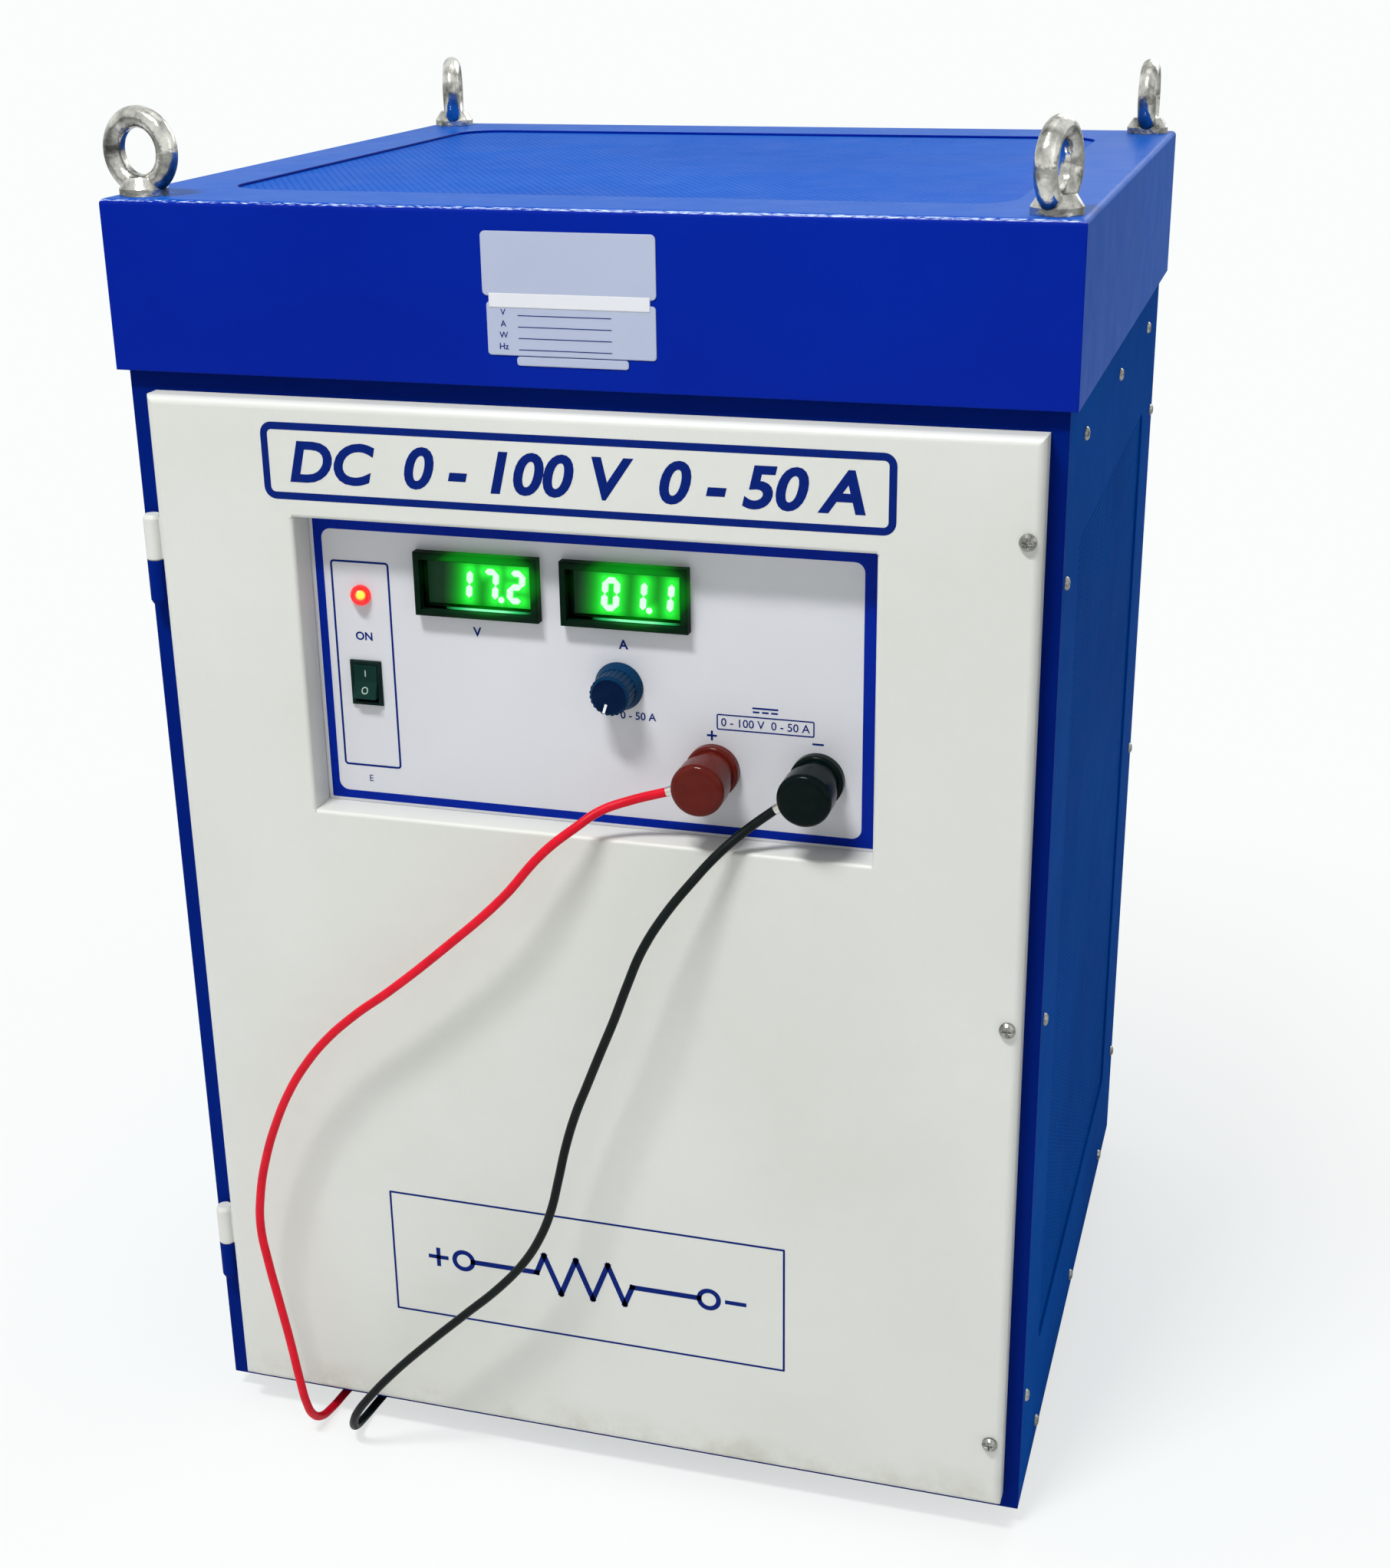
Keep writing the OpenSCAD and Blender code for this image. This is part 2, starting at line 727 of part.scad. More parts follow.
module frame_knuckles() {
    pad = hinge_d / 2;
    color(blue) for (z = hinge_zs) translate([hinge_x, hinge_y, z]) mirror([0, 0, 1]) knuckle()
        translate([-pad / 2, 0, 0]) cube([pad, hinge_out, hinge_len - 3]);
}

module door_knuckles() {
    reach = strip_hinge - hinge_inset;
    tab = 5;
    color(white) for (z = hinge_zs) translate([hinge_x, hinge_y, z + hinge_washer]) knuckle()
        translate([0, -tab / 2, 0]) cube([reach, tab, hinge_len - 3]);
}

module hinge_pins() {
    reach = hinge_len - 6;
    color(zinc) for (z = hinge_zs) translate([hinge_x, hinge_y, z]) {
        translate([0, 0, -reach]) cylinder(h = 2 * reach + hinge_washer, d = hinge_pin_d);
        difference() {
            cylinder(h = hinge_washer, d = hinge_d - 1);
            translate([0, 0, -cut]) cylinder(h = hinge_washer + 2 * cut, d = hinge_pin_d + 2 * run);
        }
    }
}

// Door

// Cut that bends one edge of the window round, along Z
module window_flare(len) {
    linear_extrude(len, center = true) difference() {
        translate([-cut, -cut]) square(window_bend + cut);
        translate([window_bend, window_bend]) circle(window_bend);
        translate([-cut - 1, window_bend]) square([1 + cut, 1]);
    }
}

module door_panel() {
    color(white) difference() {
        union() {
            translate([door_x, door_front, door_z]) difference() {
                folded_pan(door_w, door_t, door_h, door_bend);
                translate([0, door_skin, 0]) folded_pan(door_w - 2 * door_skin, door_t - 2 * door_skin,
                    door_h - 2 * door_skin, door_bend - door_skin);
                translate([-door_w / 2 + door_lip, door_t / 2, -door_h / 2 + door_lip])
                    cube([door_w - 2 * door_lip, door_t, door_h - 2 * door_lip]);
            }
            translate([window_x - window_w / 2 - door_skin, door_front, window_z - window_h / 2 - door_skin])
                cube([window_w + 2 * door_skin, window_return, window_h + 2 * door_skin]);
        }
        translate([window_x - window_w / 2, door_front - cut, window_z - window_h / 2])
            cube([window_w, window_return + 2 * cut, window_h]);
        for (side = [-1, 1]) {
            translate([window_x + side * window_w / 2, door_front, window_z])
                mirror([side < 0 ? 1 : 0, 0, 0]) window_flare(window_h);
            translate([window_x, door_front, window_z + side * window_h / 2])
                mirror([0, 0, side < 0 ? 1 : 0]) rotate([0, -90, 0]) window_flare(window_w);
        }
        door_screw_holes();
    }
}

module door_screws() {
    head_h = 4;
    head_d = 2 * door_screw_d;
    color(zinc) for (z = door_screw_zs)
        translate([door_screw_x, door_front, z]) rotate([90, 0, 0]) difference() {
            union() {
                cylinder(h = head_h / 2, d = head_d);
                translate([0, 0, head_h / 2]) cylinder(h = head_h / 2, d1 = head_d, d2 = head_d * 0.7);
                translate([0, 0, -door_screw_len]) cylinder(h = door_screw_len, d = door_screw_d);
            }
            translate([0, 0, head_h]) cross_recess(head_d * 0.55, 1.6);
        }
}

// Hat-section stiffener welded across the inside of the door's lower half
module door_stiffener() {
    hat_w = 60;
    hat_d = door_t - 2 * door_skin - loose;
    wall = 1.5;
    len = door_w - 2 * door_lip - 10;
    color(white) translate([door_x, door_front + door_skin, door_low + stiffener_z])
        rotate([90, 0, 90]) linear_extrude(len, center = true) {
            difference() {
                translate([0, -hat_w / 4]) square([hat_d, hat_w / 2]);
                translate([-cut, -hat_w / 4 + wall]) square([hat_d - wall + cut, hat_w / 2 - 2 * wall]);
            }
            for (side = [-1, 1]) translate([0, side * 3 * hat_w / 8 - hat_w / 8]) square([wall, hat_w / 4]);
        }
}

// Control panel and what is mounted in it

module panel_uprights() {
    low = low_rail_z + tube / 2;
    len = high_rail_z - tube / 2 - low;
    depth = 40;
    color(zinc) difference() {
        for (side = [-1, 1]) translate([window_x + side * rack_x, panel_back, low]) {
            translate([-upright_w / 2, 0, 0]) cube([upright_w, upright_t, len]);
            translate([side * (upright_w - upright_t) / 2 - upright_t / 2, 0, 0])
                cube([upright_t, depth, len]);
        }
        rack_holes();
    }
}

module rack_holes() {
    depth = panel_t + upright_t + cut;
    for (x = [-rack_x, rack_x], z = [-rack_z, rack_z])
        on_panel(window_x + x, window_z + z)
            translate([0, 0, -depth]) cylinder(h = depth + cut, d = screw_d + hole);
}

module control_panel() {
    color(panel_white) difference() {
        translate([window_x - panel_w / 2, panel_front, window_z - panel_h / 2])
            cube([panel_w, panel_t, panel_h]);
        rack_holes();
        for (x = meter_xs) panel_cutout(x, meter_z, meter_w - 3.5, meter_h - 3);
        panel_cutout(lamp_x, switch_z, switch_w - 3, switch_h - 3.8);
        panel_hole(lamp_x, lamp_z, lamp_d - 2);
        panel_hole(knob_x, knob_z, shaft_d + 4);
        for (x = [red_x, black_x]) panel_hole(x, terminal_z, stud_d + 10);
    }
}

module panel_cutout(x, z, w, h) {
    translate([x - w / 2, panel_front - cut, z - h / 2]) cube([w, panel_t + 2 * cut, h]);
}

module panel_hole(x, z, d) {
    on_panel(x, z) translate([0, 0, -panel_t - cut]) cylinder(h = panel_t + 2 * cut, d = d + hole);
}

// Folded box that the control panel closes, with slots for the bus bars in its floor
module control_chassis() {
    slot = 4;
    color(aluminium) translate([window_x, panel_back, window_z]) difference() {
        translate([-chassis_w / 2, 0, -chassis_h / 2]) cube([chassis_w, chassis_d, chassis_h]);
        translate([-chassis_w / 2 + chassis_t, -cut, -chassis_h / 2 + chassis_t])
            cube([chassis_w - 2 * chassis_t, chassis_d - chassis_t + cut, chassis_h - 2 * chassis_t]);
        for (x = [red_x, black_x])
            translate([x - window_x - bus_w / 2 - slot, bus_front - panel_back - slot, -chassis_h / 2 - cut])
                cube([bus_w + 2 * slot, bus_t + 2 * slot, chassis_t + 2 * cut]);
    }
}

// Panel meter: rounded bezel with a stepped window pocket, body through the panel
module meter_case(x) {
    color(black) translate([x, panel_front, meter_z]) difference() {
        union() {
            translate([0, -meter_out, 0]) folded_pan(meter_w, meter_out, meter_h, 2);
            translate([-meter_w / 2 + 2, -cut, -meter_h / 2 + 1.75])
                cube([meter_w - 4, meter_depth + cut, meter_h - 3.5]);
        }
        meter_pocket(meter_rim, -meter_out - cut, -meter_lens_back);
        meter_pocket(meter_rim + 2, -meter_out, 4);
    }
}

module meter_pocket(rim, from, to) {
    translate([-meter_w / 2 + rim, from, -meter_h / 2 + rim])
        cube([meter_w - 2 * rim, to - from, meter_h - 2 * rim]);
}

module voltmeter_case() { meter_case(meter_xs[0]); }

module ammeter_case() { meter_case(meter_xs[1]); }

module meter_windows() {
    color([0.1, 0.25, 0.15]) for (x = meter_xs) translate([x, panel_front, meter_z])
        meter_pocket(meter_rim + hole, -meter_lens_back - meter_lens_t, -meter_lens_back);
}

module meter_displays() {
    color([0.05, 0.3, 0.1]) for (x = meter_xs) translate([x, panel_front, meter_z])
        meter_pocket(meter_rim + 3, 1, 4);
}

module lamp_bezel() {
    flange = 4;
    barrel = 18;
    color(zinc) on_panel(lamp_x, lamp_z) difference() {
        union() {
            cylinder(h = flange / 2, d = lamp_d + 3);
            translate([0, 0, flange / 2]) cylinder(h = flange / 2, d1 = lamp_d + 3, d2 = lamp_d + 1.5);
            translate([0, 0, -barrel]) cylinder(h = barrel, d = lamp_d - 2);
        }
        translate([0, 0, 1]) cylinder(h = flange, d = lamp_d + hole);
    }
    color(zinc) on_panel(lamp_x, lamp_z) translate([0, 0, -panel_t - 4]) hex_nut(lamp_d - 2, 4, lamp_d + 2);
}

module lamp_lens() {
    rim = 4;
    dome = 4;
    dome_r = (lamp_d * lamp_d / 4 + dome * dome) / (2 * dome);
    color([0.85, 0.12, 0.08]) on_panel(lamp_x, lamp_z) translate([0, 0, 1]) {
        cylinder(h = rim, d = lamp_d);
        translate([0, 0, rim]) intersection() {
            cylinder(h = dome, d = lamp_d);
            translate([0, 0, dome - dome_r]) sphere(dome_r);
        }
    }
}

module switch_housing() {
    body_depth = 22;
    wall = switch_w - rocker_w - 2 * loose;
    color(black) translate([lamp_x, panel_front, switch_z]) difference() {
        union() {
            translate([0, -switch_rim, 0]) folded_pan(switch_w, switch_rim, switch_h, 1.2);
            translate([-switch_w / 2 + 1.7, -cut, -switch_h / 2 + 2.1])
                cube([switch_w - 3.4, body_depth + cut, switch_h - 4.2]);
        }
        translate([-switch_w / 2 + wall / 2, -switch_rim - cut, -switch_h / 2 + 2.7])
            cube([switch_w - wall, switch_rim + 16 + cut, switch_h - 5.4]);
        translate([-rocker_w / 2 - 1.3, rocker_pivot, 0]) rotate([0, 90, 0])
            cylinder(h = rocker_w + 2.6, d = 3 + 2 * run);
    }
}

// Rocker with its upper half pressed in: the rest position is ON
module switch_rocker() {
    half = 13;
    color(black) translate([lamp_x, panel_front + rocker_pivot, switch_z])
        rotate([-rocker_travel / 2, 0, 0]) {
            rotate([90, 0, 90]) linear_extrude(rocker_w, center = true)
                polygon([[-8.5, half], [-6, 0], [-8.5, -half], [4, -half + 4], [4, half - 4]]);
            rotate([0, 90, 0]) cylinder(h = rocker_w + 2.2, d = 3, center = true);
        }
}

module potentiometer() {
    bushing = 7;
    can_d = 24;
    can_h = 14;
    color(zinc) on_panel(knob_x, knob_z) {
        difference() {
            union() {
                translate([0, 0, -panel_t - can_h]) cylinder(h = can_h, d = can_d);
                translate([0, 0, -panel_t]) cylinder(h = panel_t + bushing, d = shaft_d + 4);
            }
            translate([0, 0, -panel_t - can_h / 2])
                cylinder(h = panel_t + can_h / 2 + bushing + cut, d = shaft_d + 2 * run);
        }
        hex_nut(shaft_d + 4, 2.5, shaft_d + 8);
    }
}

module knob_shaft() {
    color(zinc) on_panel(knob_x, knob_z)
        translate([0, 0, -panel_t - 6]) cylinder(h = panel_t + 6 + knob_gap + knob_len - 5, d = shaft_d);
}

// Fluted knob, its pointer groove at the lowest setting
module current_knob() {
    skirt = 7;
    nose = 1.5;
    flutes = 24;
    flute_d = 2;
    flute_depth = 0.6;
    recess_d = shaft_d + 16;
    recess = 8;
    cover = 5;
    pointer_turn = 198;
    pointer_w = 1.8;
    color(black) on_panel(knob_x, knob_z) translate([0, 0, knob_gap]) difference() {
        union() {
            cylinder(h = skirt, d1 = knob_d, d2 = knob_grip_d + 1);
            translate([0, 0, skirt]) linear_extrude(knob_len - skirt - nose) difference() {
                circle(d = knob_grip_d);
                for (i = [0 : flutes - 1]) rotate(360 * i / flutes)
                    translate([(knob_grip_d + flute_d) / 2 - flute_depth, 0]) circle(d = flute_d);
            }
            translate([0, 0, knob_len - nose]) cylinder(h = nose, d1 = knob_grip_d - 2, d2 = knob_grip_d - 4);
        }
        translate([0, 0, -cut]) cylinder(h = cut + recess, d = recess_d);
        translate([0, 0, -cut]) cylinder(h = knob_len - cover + cut + loose, d = shaft_d + 2 * run);
        rotate(-pointer_turn) translate([-pointer_w / 2, knob_grip_d / 5, knob_len - nose / 2])
            cube([pointer_w, knob_grip_d / 2, nose]);
    }
}

// Terminals

module post_base(x, tint) {
    edge = 2.5;
    color(tint) on_panel(x, terminal_z) {
        difference() {
            rotate_extrude() {
                square([post_d / 2, post_flange - edge]);
                square([post_d / 2 - edge, post_flange]);
                translate([post_d / 2 - edge, post_flange - edge]) circle(edge);
                square([post_body_d / 2, post_base_len]);
                translate([0, -panel_t + loose]) square([stud_d / 2 + 5, panel_t]);
            }
            translate([0, 0, -panel_t - cut])
                cylinder(h = post_base_len + panel_t + 2 * cut, d = stud_d + 2 * run);
        }
        translate([0, 0, -panel_t - bush_t]) difference() {
            cylinder(h = bush_t, d = bush_d);
            translate([0, 0, -cut]) cylinder(h = bush_t + 2 * cut, d = stud_d + 2 * run);
        }
    }
}

module red_post_base() { post_base(red_x, red); }

module black_post_base() { post_base(black_x, black); }

// Threaded studs with the nuts that hold the bushes and the bus bars
module post_studs() {
    inside = bus_front - panel_front + bus_t + nut_t + 5;
    color(zinc) for (x = [red_x, black_x]) on_panel(x, terminal_z) {
        translate([0, 0, -inside]) cylinder(h = inside + cap_back + post_cap_len - 11, d = stud_d);
        translate([0, 0, panel_front - bus_front]) hex_nut(stud_d, nut_t, 1.7 * stud_d);
        translate([0, 0, panel_front - bus_front - bus_t - nut_t]) hex_nut(stud_d, nut_t, 1.7 * stud_d);
    }
}

module clamp_washer(x) {
    color(zinc) on_panel(x, terminal_z) translate([0, 0, lug_front]) difference() {
        cylinder(h = washer_t, d = 2.4 * stud_d);
        translate([0, 0, -cut]) cylinder(h = washer_t + 2 * cut, d = stud_d + 2 * run);
    }
}

module red_washer() { clamp_washer(red_x); }

module black_washer() { clamp_washer(black_x); }

// Cap with a rounded nose and a blind bore for the stud
module post_cap(x, tint) {
    nose = 5;
    rim = 1.5;
    color(tint) on_panel(x, terminal_z) translate([0, 0, cap_back]) difference() {
        rotate_extrude() {
            translate([0, rim]) square([post_d / 2, post_cap_len - nose - rim]);
            square([post_d / 2 - rim, post_cap_len - nose]);
            translate([post_d / 2 - rim, rim]) circle(rim);
            square([post_d / 2 - nose, post_cap_len]);
            translate([post_d / 2 - nose, post_cap_len - nose]) intersection() {
                circle(nose);
                translate([-nose, 0]) square([2 * nose, nose]);
            }
        }
        translate([0, 0, -cut]) cylinder(h = post_cap_len - 7 + cut, d = stud_d + 2 * run);
    }
}

module red_cap() { post_cap(red_x, red); }

module black_cap() { post_cap(black_x, black); }

// Leads

// Ring lug: hole at the origin, barrel along +X with its axis at height lift over the palm's middle
module ring_lug(lift) {
    difference() {
        union() {
            translate([0, 0, -lug_t / 2]) cylinder(h = lug_t, d = lug_d);
            translate([0, -lug_d / 4, -lug_t / 2]) cube([lug_barrel + 2, lug_d / 2, lug_t]);
            translate([lug_barrel, 0, lift]) rotate([0, 90, 0])
                cylinder(h = lug_reach - lug_barrel, d = lead_d + 0.4);
        }
        translate([0, 0, -lug_t]) cylinder(h = 2 * lug_t, d = stud_d + 2 * hole);
    }
}

function lug_way(slope) = [-cos(slope), 0, -sin(slope)];

function lead_start(x, slope) = [x, lug_plane, terminal_z] + lug_reach * lug_way(slope);

module lug_pair(x, slope, route) {
    lift = 2.5;
    color(zinc) {
        translate([x, lug_plane, terminal_z]) rotate([90, 0, 0]) rotate(180 + slope) ring_lug(0);
        translate(route[len(route) - 1] + [0, lug_reach, -lift]) rotate(-90) ring_lug(lift);
    }
}

module red_lugs() { lug_pair(red_x, red_slope, red_route); }

module black_lugs() { lug_pair(black_x, black_slope, black_route); }

function unit(v) = v / norm(v);

// Ring of points across the way that the route takes at one of its points
function ring_at(point, way, sides) =
    let (across = unit(cross(way, [1, 1, -1])), up = cross(across, way))
    [for (i = [0 : sides - 1])
        point + lead_d / 2 * (cos(360 * i / sides) * across + sin(360 * i / sides) * up)];

module lead(points, first_way, last_way) {
    sides = 10;
    last = len(points) - 1;
    ways = [for (i = [0 : last])
        i == 0 ? first_way : i == last ? last_way : unit(points[i + 1] - points[i - 1])];
    rings = [for (i = [0 : last]) each ring_at(points[i], ways[i], sides)];
    walls = [for (i = [0 : last - 1], k = [0 : sides - 1])
        let (next = (k + 1) % sides)
        each [
            [i * sides + k, i * sides + next, (i + 1) * sides + next],
            [i * sides + k, (i + 1) * sides + next, (i + 1) * sides + k]
        ]];
    first_cap = [for (k = [sides - 1 : -1 : 0]) k];
    last_cap = [for (k = [0 : sides - 1]) last * sides + k];
    polyhedron(rings, concat([first_cap], walls, [last_cap]));
}

module red_lead() {
    color([0.85, 0.08, 0.16])
        lead(concat([lead_start(red_x, red_slope)], red_route), lug_way(red_slope), [0, 1, 0]);
}

module black_lead() {
    color(black)
        lead(concat([lead_start(black_x, black_slope)], black_route), lug_way(black_slope), [0, 1, 0]);
}

// Load section

// Copper bars from the terminals' studs back and across the power modules
module bus_bar(x, z) {
    cross_len = 2 * sink_w + sink_gap - 30;
    translate([x - bus_w / 2, bus_front, z - bus_t / 2]) {
        difference() {
            cube([bus_w, bus_t, terminal_z + stud_d + 4 - z]);
            translate([bus_w / 2, -cut, terminal_z - z + bus_t / 2]) rotate([-90, 0, 0])
                cylinder(h = bus_t + 2 * cut, d = stud_d + 2 * hole);
        }
        cube([bus_w, bus_plane + bus_t - bus_front, bus_t]);
    }
    translate([-cross_len / 2, bus_plane, z - bus_w / 2]) cube([cross_len, bus_t, bus_w]);
}

module bus_bars() {
    color(copper) {
        bus_bar(red_x, sink_foot + bus_high);
        bus_bar(black_x, sink_foot + bus_low);
    }
}

module heat_sinks() {
    fins = floor((sink_w - fin_t) / fin_pitch);
    color(aluminium) for (side = [-1, 1])
        translate([side * (sink_w + sink_gap) / 2, sink_front, sink_foot]) linear_extrude(sink_h) {
            translate([-sink_w / 2, 0]) square([sink_w, sink_base]);
            for (i = [0 : fins])
                translate([(i - fins / 2) * fin_pitch - fin_t / 2, 0]) square([fin_t, sink_base + fin_len]);
        }
}

// Power transistors in two rows on the flat faces of the heat sinks
module power_modules() {
    w = 38;
    h = 26;
    pitch = 72;
    color(black) for (side = [-1, 1], z = [bus_low, bus_high], i = [-1 : 1])
        translate([side * (sink_w + sink_gap) / 2 + i * pitch, sink_front, sink_foot + z])
            rotate([90, 0, 0]) {
                translate([0, 0, (module_t - 3) / 2]) cube([w, h, module_t - 3], center = true);
                translate([0, 0, module_t / 2]) cube([w - 10, h - 14, module_t], center = true);
            }
}

// Laminated core with its winding on the chassis floor
module aux_transformer() {
    color(copper) translate([chassis_left + core_side, panel_back + chassis_d - core_rear, chassis_floor]) {
        translate([-core[0] / 2, -core[1] / 2, 0]) cube(core);
        translate([-core[0] / 2 - core_foot, -core[1] / 2, 0])
            cube([core[0] + 2 * core_foot, core[1], core_foot_t]);
        translate([0, 0, core[2] / 2])
            cube([core[0] - 2 * winding, core[1] + 2 * winding, core[2] - 2 * winding], center = true);
    }
}

// Circuit board on four pillars, with its capacitors and relays
module control_board() {
    board_top = pillar_h + board[2];
    corner = [board[0] / 2 - pillar_d, board[1] / 2 - pillar_d];
    place = [chassis_left + board_side, panel_back + board_front, chassis_floor];
    color([0.08, 0.35, 0.15]) translate(place) {
        for (x = [-1, 1], y = [-1, 1])
            translate([x * corner[0], y * corner[1], 0]) cylinder(h = pillar_h, d = pillar_d);
        translate([-board[0] / 2, -board[1] / 2, pillar_h]) cube(board);
        for (i = [-1.5 : 1.5]) translate([i * capacitor_pitch, board[1] / 4, board_top])
            cylinder(h = capacitor[1], d = capacitor[0]);
        for (i = [-1 : 1]) translate([i * relay_pitch - relay[0] / 2, -board[1] / 3, board_top]) cube(relay);
    }
}

// Fans

module on_fans() {
    for (side = [-1, 1]) translate([side * fan_spacing / 2, 0, fan_z]) children();
}

module fan_tray() {
    w = 2 * (post_x - tube / 2 - 5);
    d = 2 * (inner_y - 5);
    color(zinc) difference() {
        translate([-w / 2, -d / 2, tray_z]) cube([w, d, tray_t]);
        on_fans() translate([0, 0, -tray_t - cut]) {
            cylinder(h = tray_t + 2 * cut, d = fan_throat_d);
            on_fan_corners() cylinder(h = tray_t + 2 * cut, d = 4.4);
        }
    }
}

module on_fan_corners() {
    for (x = [-1, 1], y = [-1, 1]) translate([x * (fan_w / 2 - 7), y * (fan_w / 2 - 7), 0]) children();
}

// Frame with a round throat, and the motor's seat held by three bars
module fan_frames() {
    seat = 5;
    color(black) on_fans() {
        difference() {
            linear_extrude(fan_h) round_rectangle(fan_w, fan_w, 6);
            translate([0, 0, -cut]) cylinder(h = fan_h + 2 * cut, d = fan_throat_d);
            on_fan_corners() translate([0, 0, -cut]) cylinder(h = fan_h + 2 * cut, d = 4.4);
            for (turn = [0 : 90 : 270]) rotate(turn + 45) translate([fan_throat_d / 2 + 4, -20, 5])
                cube([30, 40, fan_h - 10]);
        }
        cylinder(h = seat, d = fan_hub_d + 2);
        for (turn = [30 : 120 : 270]) rotate(turn)
            translate([0, -3, 0]) cube([fan_throat_d / 2 + 1, 6, seat]);
        cylinder(h = fan_h - 4, d = 5);
    }
}

// Rotor on the motor's spindle: flat blades set at a pitch between hub and throat
module fan_rotor(side) {
    low = 6;
    tip = fan_throat_d / 2 - 1.5;
    tall = fan_h - low - 2;
    color(black) translate([side * fan_spacing / 2, 0, fan_z + low]) difference() {
        union() {
            cylinder(h = tall, d = fan_hub_d);
            intersection() {
                translate([0, 0, 1]) cylinder(h = tall - 2, r = tip);
                union() for (i = [0 : fan_blades - 1]) rotate(360 * i / fan_blades)
                    translate([fan_hub_d / 2 - 3, 0, tall / 2]) rotate([fan_pitch, 0, 0])
                        translate([0, -1, -tall]) cube([tip, 2, 2 * tall]);
            }
        }
        translate([0, 0, -cut]) cylinder(h = tall + 2 * cut, d = 5 + 2 * run);
    }
}

module left_fan_rotor() { fan_rotor(-1); }

module right_fan_rotor() { fan_rotor(1); }

// Rear connections

// Places its children on the rear panel's face, with +Z out of the panel
module on_gland() {
    translate([gland_x, body_d / 2, foot_h + gland_z]) rotate([-90, 0, 0]) children();
}

module on_earth() {
    translate([gland_x - earth_pitch, body_d / 2, foot_h + gland_z]) rotate([-90, 0, 0]) children();
}

module cable_gland() {
    locknut = 5;
    hex = 6;
    hex_d = (gland_thread_d + 6) / cos(30);
    color(black) on_gland() difference() {
        union() {
            cylinder(h = hex, d = hex_d, $fn = 6);
            cylinder(h = gland_out - 16, d = gland_thread_d + 2);
            translate([0, 0, hex + 3]) cylinder(h = gland_out - hex - 11, d = gland_thread_d + 6);
            translate([0, 0, gland_out - 8]) cylinder(h = 8, d1 = gland_thread_d + 6, d2 = gland_bore + 5);
            translate([0, 0, -sheet - locknut]) cylinder(h = sheet + locknut, d = gland_thread_d);
            translate([0, 0, -sheet - locknut]) cylinder(h = locknut, d = hex_d, $fn = 6);
        }
        translate([0, 0, -sheet - locknut - cut])
            cylinder(h = gland_out + sheet + locknut + 2 * cut, d = gland_bore);
    }
}

// Earth stud with a nut on each face of the rear panel
module earth_stud() {
    nut = 6.5;
    across = 1.6 * earth_d / cos(30);
    color(zinc) on_earth() {
        translate([0, 0, -sheet - nut - 6]) cylinder(h = sheet + nut + 6 + earth_out, d = earth_d);
        cylinder(h = nut, d = across, $fn = 6);
        translate([0, 0, -sheet - nut]) cylinder(h = nut, d = across, $fn = 6);
    }
}

base_plate();
levelling_feet();
corner_posts();
frame_rails();
front_surround();
left_side_panel();
right_side_panel();
side_vent_sheets();
rear_panel();
body_screws();
hood();
top_vent_sheet();
eye_bolt_front_left();
eye_bolt_front_right();
eye_bolt_rear_left();
eye_bolt_rear_right();
frame_knuckles();
hinge_pins();
panel_uprights();
control_panel();
control_chassis();
voltmeter_case();
ammeter_case();
meter_windows();
meter_displays();
lamp_bezel();
lamp_lens();
switch_housing();
potentiometer();
red_post_base();
black_post_base();
post_studs();
bus_bars();
heat_sinks();
power_modules();
aux_transformer();
control_board();
fan_tray();
fan_frames();
cable_gland();
earth_stud();
red_lead();
red_lugs();
black_lead();
black_lugs();
door_panel();
door_knuckles();
door_screws();
door_stiffener();
switch_rocker();
current_knob();
knob_shaft();
red_washer();
red_cap();
black_washer();
black_cap();
left_fan_rotor();
right_fan_rotor();
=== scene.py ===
"""Looks of a floor-standing DC electronic load: paint, prints, perforated sheets, displays and leads."""

import math

import bmesh
import bpy
from mathutils import Matrix, Vector


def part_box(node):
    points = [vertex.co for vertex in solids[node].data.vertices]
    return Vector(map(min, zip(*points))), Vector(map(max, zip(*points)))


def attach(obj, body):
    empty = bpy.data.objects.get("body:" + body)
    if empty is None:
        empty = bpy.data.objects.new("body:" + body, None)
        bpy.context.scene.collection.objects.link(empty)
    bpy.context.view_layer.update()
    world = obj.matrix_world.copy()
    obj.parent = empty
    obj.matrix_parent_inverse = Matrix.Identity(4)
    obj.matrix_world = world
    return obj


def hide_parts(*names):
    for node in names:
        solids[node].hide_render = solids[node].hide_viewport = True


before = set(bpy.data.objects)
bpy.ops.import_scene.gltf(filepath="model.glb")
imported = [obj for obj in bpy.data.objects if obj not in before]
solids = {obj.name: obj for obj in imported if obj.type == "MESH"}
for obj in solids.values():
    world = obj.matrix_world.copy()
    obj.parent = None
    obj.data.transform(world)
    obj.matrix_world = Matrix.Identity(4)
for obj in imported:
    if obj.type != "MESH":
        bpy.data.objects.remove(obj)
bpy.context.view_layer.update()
scene = bpy.context.scene
scene.view_settings.view_transform = "Standard"

# Camera: a view of the front from a step to the right, at the height of the lifting eyes, looking
# down over the hood. The frame's long side is the sensor's width.
view_from = Vector((0.514, -1.752, 1.195))
view_turn = math.radians(16.6)
view_dip = math.radians(21.26)
view_roll = math.radians(-0.82)
camera = bpy.data.objects.new("camera", bpy.data.cameras.new("camera"))
camera.data.sensor_width = 36
camera.data.lens = 50.72
view_aim = Matrix.Rotation(view_turn, 4, "Z") @ Matrix.Rotation(math.pi / 2 - view_dip, 4, "X")
camera.matrix_world = Matrix.Translation(view_from) @ view_aim @ Matrix.Rotation(view_roll, 4, "Z")
scene.collection.objects.link(camera)
scene.camera = camera


